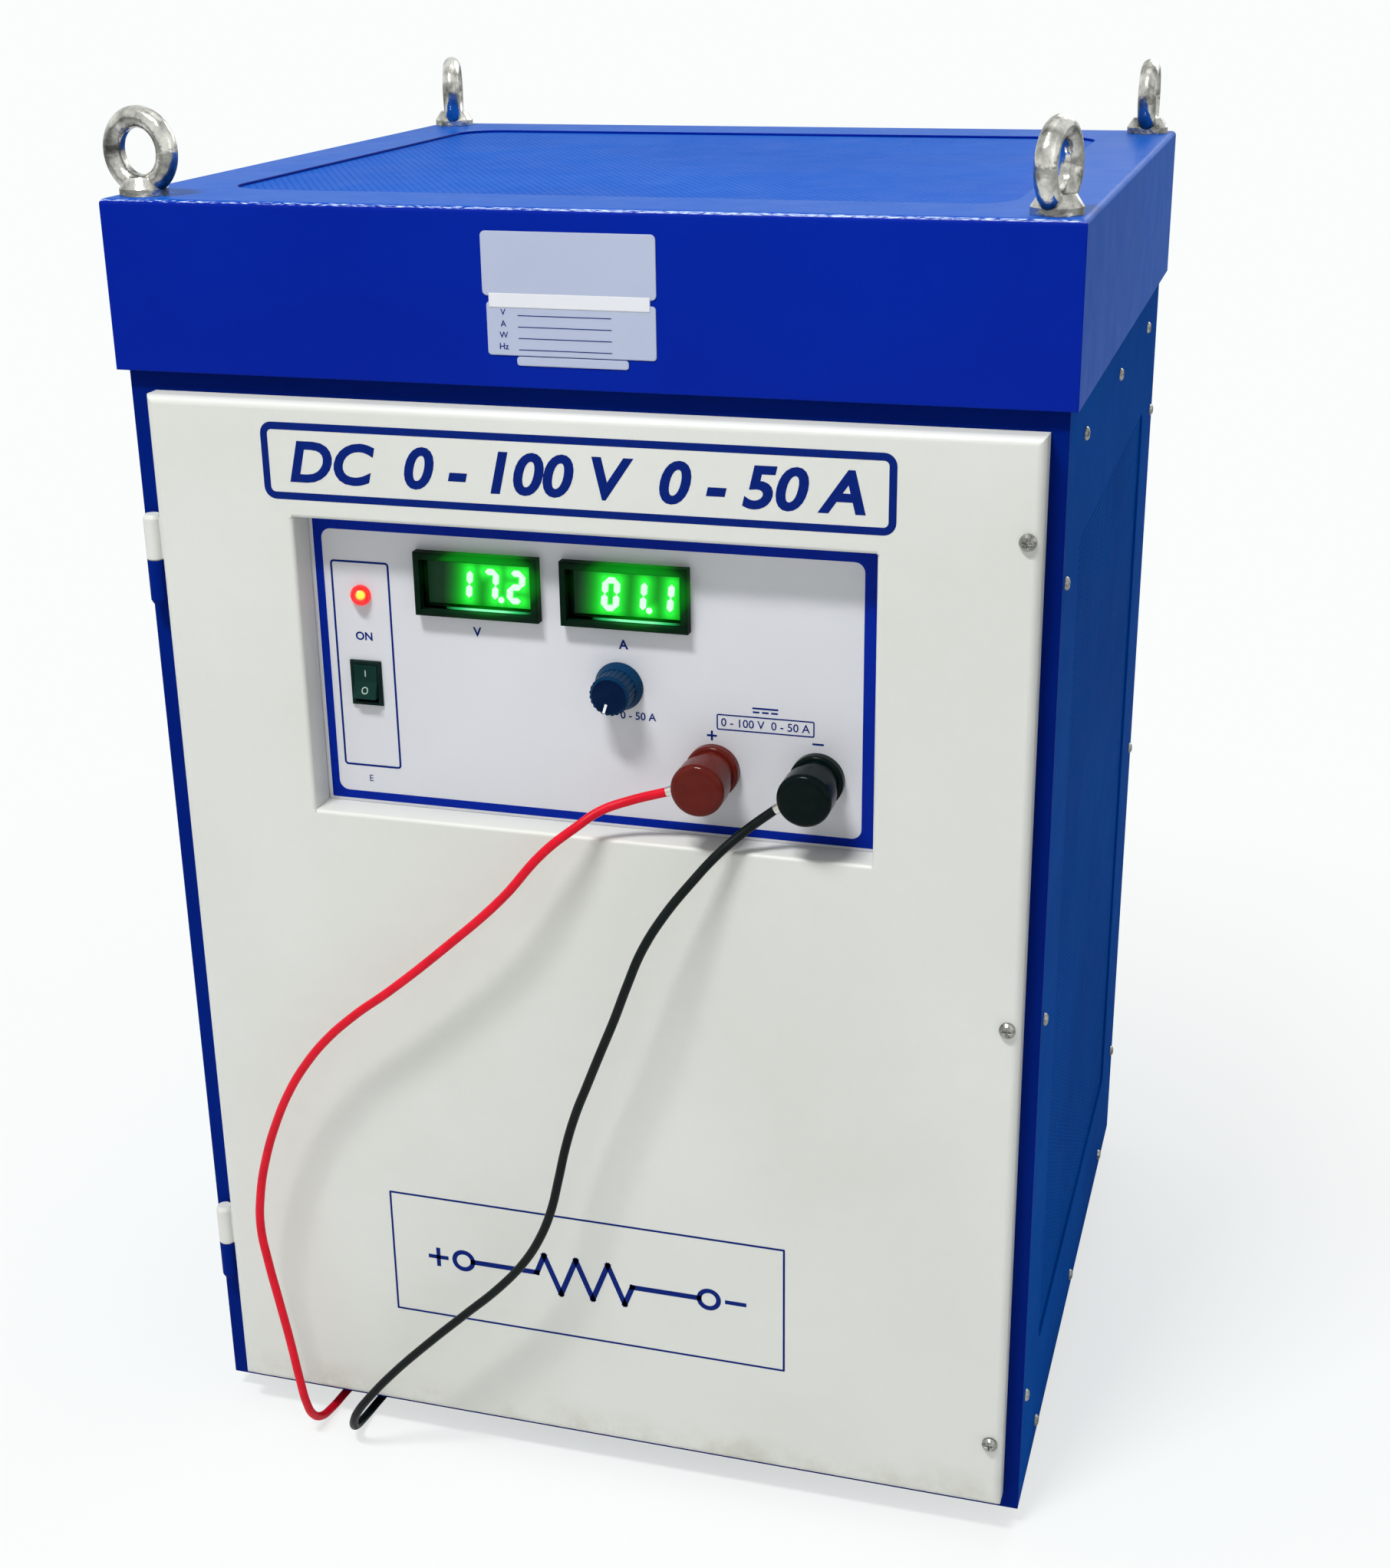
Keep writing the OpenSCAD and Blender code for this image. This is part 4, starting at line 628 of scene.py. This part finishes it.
def rounded(width, height, corner, middle, steps=6):
    """Loop of a round-cornered rectangle on a front face, anticlockwise seen from the front."""
    loop = []
    quarters = ((1, -1, -90), (1, 1, 0), (-1, 1, 90), (-1, -1, 180))
    for right, up, start in quarters:
        for step in range(steps + 1):
            turn = math.radians(start + 90 * step / steps)
            loop.append((middle[0] + right * (width / 2 - corner) + corner * math.cos(turn),
                         middle[1] + up * (height / 2 - corner) + corner * math.sin(turn)))
    return loop


def slab(shape, outer, face, inner=None, depth=ink_t):
    """Closed flat piece in front of a face: a loop of (x, z) places, with an inner loop as its hole."""
    def rim(loop, y):
        return [shape.verts.new((x, y, z)) for x, z in loop]

    front, back = rim(outer, face - depth), rim(outer, face)
    count = len(outer)
    for i in range(count):
        after = (i + 1) % count
        shape.faces.new((front[after], front[i], back[i], back[after]))
    if inner is None:
        shape.faces.new(front)
        shape.faces.new(back[::-1])
        return
    hole_front, hole_back = rim(inner, face - depth), rim(inner, face)
    for i in range(count):
        after = (i + 1) % count
        shape.faces.new((hole_front[i], hole_front[after], hole_back[after], hole_back[i]))
        shape.faces.new((front[i], front[after], hole_front[after], hole_front[i]))
        shape.faces.new((back[after], back[i], hole_back[i], hole_back[after]))


def frame_line(shape, width, height, corner, middle, face, line):
    """Outline of a round-cornered rectangle in a line of one width."""
    inner = rounded(width - 2 * line, height - 2 * line, max(corner - line, least_corner), middle)
    slab(shape, rounded(width, height, corner, middle), face, inner)


def lettering(shape, words, height, middle, face, slant=0.0, weight=0.0, width=None):
    """Raised words or figures of one height, their box centred on a place of a front face."""
    curve = bpy.data.curves.new("words", "FONT")
    curve.body = words
    curve.shear = slant
    curve.offset = weight
    curve.resolution_u = 5
    curve.extrude = 0.5
    flat = settled(bpy.data.objects.new("words", curve))
    xs = [vertex.co.x for vertex in flat.vertices]
    ys = [vertex.co.y for vertex in flat.vertices]
    scale = height / (max(ys) - min(ys))
    stretch = width / (max(xs) - min(xs)) if width else scale
    centre = ((max(xs) + min(xs)) / 2, (max(ys) + min(ys)) / 2)
    for vertex in flat.vertices:
        vertex.co = (middle[0] + stretch * (vertex.co.x - centre[0]),
                     face - (ink_t if vertex.co.z > 0 else 0.0),
                     middle[1] + scale * (vertex.co.y - centre[1]))
    shape.from_mesh(flat)
    bpy.data.meshes.remove(flat)


def stroke(shape, start, end, line, face, depth=ink_t):
    """Straight line of one width between two places on a front face."""
    way = (Vector(end) - Vector(start)).normalized() * line / 2
    side = Vector((-way.y, way.x))
    corners = (Vector(start) - way - side, Vector(end) + way - side,
               Vector(end) + way + side, Vector(start) - way + side)
    slab(shape, [tuple(corner) for corner in corners], face, depth=depth)


def level_stroke(shape, middle, length, line, face):
    """Stroke straight across a front face."""
    x, z = middle
    stroke(shape, (x - length / 2, z), (x + length / 2, z), line, face)


def printed(name, shape, body, material):
    """Turns a finished print into a piece."""
    bmesh.ops.recalc_face_normals(shape, faces=shape.faces)
    mesh = meshed(name, shape)
    mesh.materials.append(material)
    return piece(name, mesh, body)


navy_ink = ink("navy_ink", screen(4, 32, 112))
royal_ink = ink("royal_ink", screen(0, 34, 148))
door_print = bmesh.new()
title_frame = (0.466, 0.0565, 0.009)
title_line = 0.0054
title_middle = (0.001, 0.8388)
title_letter_h = 0.031
title_w = 0.424
frame_line(door_print, *title_frame, title_middle, door_face, title_line)
lettering(door_print, "DC  0 - 100 V  0 - 50 A", title_letter_h, title_middle, door_face,
          slant=0.22, weight=0.03, width=title_w)

sign_frame = (0.332, 0.113, 0.0008)
sign_frame_line = 0.0017
sign_x, sign_z = (-0.008, 0.1815)
sign_line = 0.0045
teeth = 6
tooth = 0.0135
tooth_h = 0.017
wire = 0.055
pole_reach = 0.104
pole_d = 0.02
pole_ring = (pole_d, pole_d, pole_d / 2 - corner_gap)
pole_line = 0.004
mark_reach = 0.022
mark_size = 0.014
mark_line = 0.0035
frame_line(door_print, *sign_frame, (sign_x, sign_z), door_face, sign_frame_line)
teeth_half = teeth * tooth / 2
zigzag = [(-teeth_half - wire, 0.0), (-teeth_half, 0.0)]
for step in range(teeth):
    zigzag.append((-teeth_half + (step + 0.5) * tooth, tooth_h if step % 2 == 0 else -tooth_h))
zigzag += [(teeth_half, 0.0), (teeth_half + wire, 0.0)]
knees = [(sign_x + x, sign_z + z) for x, z in zigzag]
for start, end in zip(knees, knees[1:]):
    stroke(door_print, start, end, sign_line, door_face)
for side in (-1, 1):
    pole_x = sign_x + side * pole_reach
    frame_line(door_print, *pole_ring, (pole_x, sign_z), door_face, pole_line)
    mark_x = pole_x + side * mark_reach
    level_stroke(door_print, (mark_x, sign_z), mark_size, mark_line, door_face)
    if side < 0:
        stroke(door_print, (mark_x, sign_z - mark_size / 2), (mark_x, sign_z + mark_size / 2),
               mark_line, door_face)
printed("door_print", door_print, "door", navy_ink)


# Control panel: a satin white plate behind the door's window, printed with a broad blue border, a box
# round lamp and switch, and plain letters and signs at the meters, knob and terminals.
panel_white = powder_coat("panel_white", screen(206, 207, 213), screen(212, 213, 219), 0.42, peel=0.06)
finish(panel_white, "control_panel")


def middle_of(name):
    """Middle of a solid's box."""
    low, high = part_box(name)
    return (low + high) / 2


volt_x = middle_of("voltmeter_case").x
amp_x = middle_of("ammeter_case").x
meter_z = middle_of("voltmeter_case").z
lamp_middle = middle_of("lamp_lens")
knob_middle = middle_of("current_knob")
red_x = middle_of("red_cap").x
black_x = middle_of("black_cap").x
terminal_z = middle_of("red_cap").z
border = bmesh.new()
border_outer = rounded(0.4275, 0.2245, 0.0012, (0.0045, 0.6825))
border_inner = rounded(0.4105, 0.20675, 0.0075, (0.0025, 0.680125))
slab(border, border_outer, panel_face, border_inner)
printed("panel_border", border, "cabinet", royal_ink)

pole_sign_z = 0.647
minus_length = 0.007
minus_line = 0.0014
range_x = (red_x + black_x) / 2
range_z = 0.658
range_frame = (0.0727, 0.0122, 0.0015)
range_frame_line = 0.001
current_line = 0.0013
current_length = 0.018
current_z = 0.6705
dash_length = 0.0036
dash_z = 0.6676
dash_pitch = 0.0068
lamp_frame = (0.047, 0.1625, 0.003)
lamp_frame_line = 0.0016
lamp_frame_z = 0.6788
panel_words = (
    ("ON", 0.0066, (lamp_middle.x, 0.702), {"weight": 0.024}),
    ("E", 0.005, (lamp_middle.x - 0.002, 0.588), {}),
    ("V", 0.0072, (volt_x - 0.003, 0.712), {"weight": 0.026}),
    ("A", 0.0072, (amp_x - 0.003, 0.711), {"weight": 0.026}),
    ("0 - 50 A", 0.006, (knob_middle.x + 0.014, 0.657), {"weight": 0.016}),
    ("+", 0.0075, (red_x - 0.001, pole_sign_z), {"weight": 0.01}),
    ("0 - 100 V  0 - 50 A", 0.0062, (range_x, range_z), {"weight": 0.008, "width": 0.066}),
)
panel_print = bmesh.new()
frame_line(panel_print, *lamp_frame, (lamp_middle.x, lamp_frame_z), panel_face, lamp_frame_line)
frame_line(panel_print, *range_frame, (range_x, range_z), panel_face, range_frame_line)
for words, height, middle, style in panel_words:
    lettering(panel_print, words, height, middle, panel_face, **style)
level_stroke(panel_print, (black_x, pole_sign_z), minus_length, minus_line, panel_face)
level_stroke(panel_print, (range_x, current_z), current_length, current_line, panel_face)
for step in (-1, 0, 1):
    level_stroke(panel_print, (range_x + step * dash_pitch, dash_z), dash_length, current_line, panel_face)
printed("panel_print", panel_print, "cabinet", navy_ink)


# Panel meters: black moulded cases with a tinted window, and behind it a dark display face on which
# slanted seven-bar figures glow green and light up the face and the case round them.
window_tint, tree = new_finish("window_tint")
film = noise(tree, places(tree), 90.0, 3.0)
set_surface(window_tint, {
    "Base Color": blend(tree, film, (0.0, (0.62, 0.95, 0.7)), (1.0, (0.7, 1.0, 0.78))),
    "Roughness": ranged(tree, film, to_low=0.02, to_high=0.07), "Transmission Weight": 1.0, "IOR": 1.05})
finish(window_tint, "meter_windows")
finish(moulded("display_board", screen(6, 40, 22), 0.5), "meter_displays")

figure_h = 0.0254
figure_w = 0.0136
figure_pitch = 0.0203
figure_slant = 0.1
figure_shift = 0.0288
figure_gap = 0.0004
bar_w = 0.0047
bar_t = 0.0002
dot_shift = 0.0016
bars = {
    "a": ((0, 1), (1, 1)), "b": ((1, 0.5), (1, 1)), "c": ((1, 0), (1, 0.5)), "d": ((0, 0), (1, 0)),
    "e": ((0, 0), (0, 0.5)), "f": ((0, 0.5), (0, 1)), "g": ((0, 0.5), (1, 0.5)),
}
lit_bars = {"0": "abcdef", "1": "bc", "2": "abged", "7": "abc"}


def spill(tree, reach_x, reach_z, lift=0.0):
    """Share of the figures' light that reaches a place round them, on either meter."""
    scale = Vector((1 / reach_x, 0.0, 1 / reach_z))
    middles = [Vector((x + figure_shift - figure_pitch, 0.0, meter_z + lift)) for x in (volt_x, amp_x)]
    return sums(tree, "MAXIMUM", *[nearness(tree, middle, scale) for middle in middles])


def light_up(material, share, *stops):
    """Lets a material glow by a share of light, through stops of (share, colour)."""
    glow = blend(material.node_tree, share, *stops)
    set_surface(material, {"Emission Color": glow, "Emission Strength": 1.0})


case_moulding = moulded("meter_moulding", screen(2, 24, 12), 0.42, shine=0.04)
light_up(case_moulding, spill(case_moulding.node_tree, reach_x=0.054, reach_z=0.034, lift=0.006),
         (0.02, (0.0, 0.0, 0.0)), (0.2, (0.0, 0.02, 0.0)),
         (0.34, (0.0, 0.17, 0.002)), (0.6, (0.0, 0.29, 0.006)))
finish(case_moulding, "voltmeter_case", "ammeter_case")


def figure_bars(figure, middle_x):
    """Ends of a figure's lit bars on the display face, slanted to the right."""
    ends = []
    for bar in lit_bars[figure]:
        points = []
        for across, up in bars[bar]:
            rise = (up - 0.5) * (figure_h - bar_w)
            points.append(Vector((
                middle_x + (across - 0.5) * (figure_w - bar_w) + figure_slant * rise, meter_z + rise)))
        ends.append(points)
    return ends


def pointed_bar(shape, start, end, face):
    """Bar of a figure, pointed at both ends, where it meets its neighbours."""
    way = (end - start).normalized()
    side = Vector((-way.y, way.x)) * bar_w / 2
    inset = way * bar_w / 2
    loop = (start, start + inset - side, end - inset - side, end, end - inset + side, start + inset + side)
    slab(shape, [tuple(point) for point in loop], face, depth=bar_t)


board_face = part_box("meter_displays")[0].y
figure_face = board_face - figure_gap
figures = bmesh.new()
glowing = []
for middle_x, reading in ((volt_x, "17.2"), (amp_x, "01.1")):
    cells = reading.replace(".", "")
    for index, figure in enumerate(cells):
        cell_x = middle_x + figure_shift - (len(cells) - 1 - index) * figure_pitch
        for start, end in figure_bars(figure, cell_x):
            pointed_bar(figures, start, end, figure_face)
            glowing.append((start, end))
        if index == reading.index(".") - 1:
            dot = (cell_x + figure_w / 2 + dot_shift, meter_z - figure_h / 2 + bar_w / 2)
            slab(figures, rounded(bar_w, bar_w, bar_w / 2.05, dot), figure_face, depth=bar_t)
            glowing.append((Vector(dot), Vector(dot)))
lit_green, tree = new_finish("lit_green")
spread = noise(tree, places(tree), 160.0, 1.0)
set_surface(lit_green, {
    "Base Color": screen(120, 230, 130), "Emission Strength": 1.5,
    "Emission Color": blend(tree, spread, (0.0, (0.62, 1.0, 0.6)), (1.0, (0.8, 1.0, 0.78)))})
printed("meter_figures", figures, "cabinet", lit_green)

# Display faces: the printed face under the figures, lit by them: its glow falls off with the distance
# to the nearest lit bar.
window_low, window_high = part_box("meter_windows")
face_inset = 0.003
face_gap = 0.0002
face_cell = 0.0012
glow_reach = 0.0062
face_w = (window_high.x - amp_x - face_inset) * 2
face_h = window_high.z - window_low.z - 2 * face_inset
columns = round(face_w / face_cell)
rows = round(face_h / face_cell)


def glow_at(place):
    """Glow of the display face at a place, from the nearest lit bar."""
    nearest = math.inf
    for start, end in glowing:
        way = end - start
        along = max(0.0, min(1.0, (place - start).dot(way) / max(way.length_squared, 1e-12)))
        nearest = min(nearest, (place - start - along * way).length)
    return math.exp(-max(nearest - bar_w / 2, 0.0) / glow_reach)


face_shape = bmesh.new()
glow = face_shape.verts.layers.float.new("glow")
for middle_x in (volt_x, amp_x):
    grid = []
    for column in range(columns + 1):
        line = []
        for row in range(rows + 1):
            x = middle_x - face_w / 2 + face_w * column / columns
            z = meter_z - face_h / 2 + face_h * row / rows
            corner = face_shape.verts.new((x, board_face - face_gap, z))
            corner[glow] = glow_at(Vector((x, z)))
            line.append(corner)
        grid.append(line)
    for left, right in zip(grid, grid[1:]):
        for row in range(rows):
            face_shape.faces.new((left[row], right[row], right[row + 1], left[row + 1]))
face_mesh = meshed("display_faces", face_shape)
face_glow, tree = new_finish("face_glow")
set_surface(face_glow, {"Base Color": screen(0, 12, 6), "Roughness": 0.5})
light_up(face_glow, node(tree, "ShaderNodeAttribute", attribute_name="glow").outputs["Fac"],
         (0.05, (0.0, 0.006, 0.002)), (0.4, (0.0, 0.4, 0.006)), (0.98, (0.03, 1.0, 0.06)))
face_mesh.materials.append(face_glow)
piece("display_faces", face_mesh, "cabinet")

# Window edges: the polished lower edge of each meter's window, which pipes the figures' light out in a
# bright line below them.
edge_size = (0.066, 0.0017, 0.0008)
edge_shift = 0.0085
edge_z = window_low.z + 0.0011
edge_t = 0.0005
edge_shape = bmesh.new()
for middle_x in (volt_x, amp_x):
    slab(edge_shape, rounded(*edge_size, (middle_x + edge_shift, edge_z)), window_low.y, depth=edge_t)
edge_glow = moulded("edge_glow", screen(10, 60, 30), 0.2, shine=0.1)
light_up(edge_glow, spill(edge_glow.node_tree, reach_x=0.034, reach_z=0.06),
         (0.02, (0.0, 0.03, 0.005)), (0.3, (0.03, 0.6, 0.16)), (0.55, (0.25, 1.0, 0.5)))
printed("window_edges", edge_shape, "cabinet", edge_glow)


# Pilot lamp: a domed red lens in a red moulded ring, lit from behind so that its middle burns orange
# and the ring glows with it.
lens_reach = 0.0085
lens_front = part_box("lamp_lens")[0].y
lens_core_shift = Vector((0.0031, 0.0012, 0.0022))
lens_core = Vector((lamp_middle.x, lens_front, lamp_middle.z)) + lens_core_shift
lamp_glow, tree = new_finish("lamp_glow")
lens_tone = blend(tree, nearness(tree, lens_core, Vector((1, 1, 1)) / lens_reach),
                  (0.12, screen(205, 14, 18)), (0.5, screen(244, 34, 26)), (0.74, screen(255, 190, 60)))
set_surface(lamp_glow, {
    "Base Color": lens_tone, "Roughness": 0.12, "Emission Color": lens_tone, "Emission Strength": 1.0})
finish(lamp_glow, "lamp_lens", "lamp_bezel")


# Power switch: a black rocker in a snap-in housing. A bar for on and a ring for off are printed on the
# two slopes of the rocker's face, which lean 10.9 degrees to its middle line.
finish(moulded("switch_moulding", screen(6, 28, 24), 0.4, shine=0.06), "switch_housing")
finish(moulded("rocker_moulding", screen(10, 42, 37), 0.36, shine=0.06), "switch_rocker")
switch_middle = middle_of("switch_housing")
rocker_depth = 0.003
rocker_turn = math.radians(-12)
rocker_pivot = Vector((switch_middle.x, panel_face + rocker_depth, switch_middle.z))
rocker_rest = Matrix.Translation(rocker_pivot) @ Matrix.Rotation(rocker_turn, 4, "X")
rocker_slope = math.atan2(2.5, 13.0)
rocker_mark_y = -0.00725
rocker_mark_z = 0.0065
on_bar_half = 0.002
on_bar_line = 0.0009
off_ring = (0.0052, 0.0056, 0.0025)
off_ring_line = 0.0008
rocker_marks = bmesh.new()
for up in (1, -1):
    mark = bmesh.new()
    if up > 0:
        stroke(mark, (0, -on_bar_half), (0, on_bar_half), on_bar_line, 0.0)
    else:
        frame_line(mark, *off_ring, (0, 0), 0.0, off_ring_line)
    lean = Matrix.Rotation(up * rocker_slope, 4, "X")
    mark.transform(rocker_rest @ Matrix.Translation((0, rocker_mark_y, up * rocker_mark_z)) @ lean)
    flat = meshed("mark", mark)
    rocker_marks.from_mesh(flat)
    bpy.data.meshes.remove(flat)
pale_ink = ink("pale_ink", screen(168, 186, 178))
printed("rocker_marks", rocker_marks, "rocker", pale_ink)


# Current knob: a fluted blue-grey knob on the potentiometer's shaft, its nose covered by a navy disc,
# with a white pointer that is let into the nose and runs out over its edge.
finish(moulded("knob_moulding", screen(0, 44, 77), 0.3, shine=0.06), "current_knob")
nose_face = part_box("current_knob")[0].y
hub = Vector((knob_middle.x, knob_middle.z))
disc_d = 0.0256
disc_t = 0.0003
disc_shape = bmesh.new()
disc_loop = rounded(disc_d, disc_d, disc_d / 2 - corner_gap, hub, steps=12)
slab(disc_shape, disc_loop, nose_face, depth=disc_t)
nose_cover = moulded("nose_cover", screen(0, 21, 52), 0.4, shine=0.03)
printed("knob_disc", disc_shape, "knob", nose_cover)
pointer_turn = math.radians(198)
pointer_from = 0.00715
pointer_to = 0.01245
pointer_w = 0.0019
pointer_t = 0.0012
pointer_sunk = 0.0007
pointer_way = Vector((math.sin(pointer_turn), math.cos(pointer_turn)))
pointer_shape = bmesh.new()
stroke(pointer_shape, hub + pointer_way * pointer_from, hub + pointer_way * pointer_to, pointer_w,
       nose_face + pointer_sunk, depth=pointer_t)
white_ink = ink("white_ink", screen(238, 240, 240))
printed("knob_pointer", pointer_shape, "knob", white_ink)


# Terminals: glossy moulded screw posts, dark red and black, whose caps clamp the leads' ring lugs. The
# studs and washers that the caps turn on are plated.
red_moulding = moulded("red_moulding", screen(84, 19, 11), 0.13, grain_depth=0.03, shine=0.12)
finish(red_moulding, "red_post_base", "red_cap")
black_post = moulded("black_post_moulding", screen(0, 11, 11), 0.13, grain_depth=0.03, shine=0.06)
finish(black_post, "black_post_base", "black_cap")


# Hood plate: a thin pale rating plate riveted to the hood's front, left blank but for ruled lines and
# unit letters to fill in, with a strip across it and a small one below.
hood_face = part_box("hood")[0].y
plate_x = 0.0025
plate_t = 0.0006
strip_t = 0.0008
strip_field = (0.116, 0.0098, 0.0006, (plate_x, 0.9568))
plate_fields = (
    (0.125, 0.0435, 0.0035, (plate_x, 0.9815)),
    (0.122, 0.0365, 0.0025, (plate_x + 0.001, 0.9375)),
    (0.081, 0.0062, 0.0022, (plate_x + 0.0015, 0.9155)),
)
plate_shape = bmesh.new()
for field in plate_fields:
    slab(plate_shape, rounded(*field), hood_face, depth=plate_t)
plate_coat = powder_coat(
    "plate_coat", screen(168, 176, 200), screen(176, 184, 207), 0.3, peel=0.03, shine=0.2)
printed("rating_plate", plate_shape, "cabinet", plate_coat)
strip_shape = bmesh.new()
slab(strip_shape, rounded(*strip_field), hood_face, depth=strip_t)
strip_coat = powder_coat(
    "strip_coat", screen(214, 216, 222), screen(220, 222, 228), 0.4, peel=0.03, shine=0.2)
printed("plate_strip", strip_shape, "cabinet", strip_coat)
rule_top = 0.9488
rule_pitch = 0.0078
rule_length = 0.067
rule_line = 0.0006
rule_x = plate_x - 0.0035
unit_h = 0.0042
unit_x = plate_x - 0.048
rule_shape = bmesh.new()
rule_face = hood_face - plate_t
for row, unit in enumerate(("V", "A", "W", "Hz")):
    unit_z = rule_top - rule_pitch * row
    lettering(rule_shape, unit, unit_h, (unit_x, unit_z), rule_face, weight=0.01)
    level_stroke(rule_shape, (rule_x, unit_z - unit_h / 2), rule_length, rule_line, rule_face)
printed("plate_print", rule_shape, "cabinet", navy_ink)


# Leads: one red and one black single-core lead in smooth rubber insulation, each crimped into a tinned
# ring lug under its terminal's cap. They hang over the door, run under the base plate and end in lugs
# on the floor behind the cabinet.
lead_d = 0.007
lug_reach = 0.0315
lug_y = -0.328
lead_routes = {
    "red": (red_x, 22, [
        (40, -331, 600), (20, -339, 593), (5, -349, 583), (-18, -358, 564), (-50, -364, 526),
        (-96, -366, 482), (-146, -366, 438), (-176, -366, 414), (-203, -366, 388), (-222, -366, 364),
        (-237, -366, 340), (-252, -366, 308), (-264, -366, 274), (-272, -366, 240), (-275, -366, 208),
        (-271, -366, 174), (-265, -366, 140), (-258, -366, 100), (-252, -366, 60), (-250, -363, 38),
        (-249, -355, 20), (-248, -342, 9), (-247, -326, 5), (-245, -300, 4), (-235, -200, 4),
        (-225, -80, 4), (-220, 60, 4), (-222, 200, 4), (-225, 310, 4), (-226, 372, 4)]),
    "black": (black_x, 34, [
        (130, -334, 588), (112, -344, 572), (93, -354, 550), (75, -363, 526), (60, -369, 500),
        (48, -371, 470), (37, -371, 440), (25, -371, 410), (14, -371, 382), (4, -371, 356),
        (-5, -371, 326), (-12, -371, 296), (-19, -371, 268), (-29, -371, 242), (-44, -371, 216),
        (-66, -371, 189), (-96, -371, 159), (-130, -371, 125), (-162, -371, 91), (-186, -371, 62),
        (-201, -368, 40), (-209, -360, 22), (-213, -347, 10), (-214, -330, 5), (-212, -302, 4),
        (-200, -200, 4), (-190, -80, 4), (-184, 60, 4), (-184, 200, 4), (-187, 310, 4), (-188, 372, 4)]),
}
lead_tints = {"red": screen(204, 14, 38), "black": screen(4, 12, 12)}
tinned = plated("tinned_copper", screen(222, 220, 214), 0.24, blotch=60.0)
for colour, (terminal_x, slope, millimetres) in lead_routes.items():
    fall = math.radians(slope)
    start = (terminal_x - lug_reach * math.cos(fall), lug_y, terminal_z - lug_reach * math.sin(fall))
    route = [start] + [tuple(value / 1000 for value in point) for point in millimetres]
    line = bpy.data.curves.new(f"{colour}_cable", "CURVE")
    line.dimensions = "3D"
    line.bevel_depth = lead_d / 2
    line.bevel_resolution = 5
    line.resolution_u = 6
    line.use_fill_caps = True
    spline = line.splines.new("BEZIER")
    spline.bezier_points.add(len(route) - 1)
    for knot, point in zip(spline.bezier_points, route):
        knot.co = point
        knot.handle_left_type = "AUTO"
        knot.handle_right_type = "AUTO"
    line.materials.append(moulded(
        f"{colour}_insulation", lead_tints[colour], 0.34, grain_scale=420.0, grain_depth=0.2, shine=0.12))
    cable = bpy.data.objects.new(f"{colour}_cable", line)
    scene.collection.objects.link(cable)
    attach(cable, "cabinet")
    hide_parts(f"{colour}_lead")
    finish(tinned, f"{colour}_lugs")
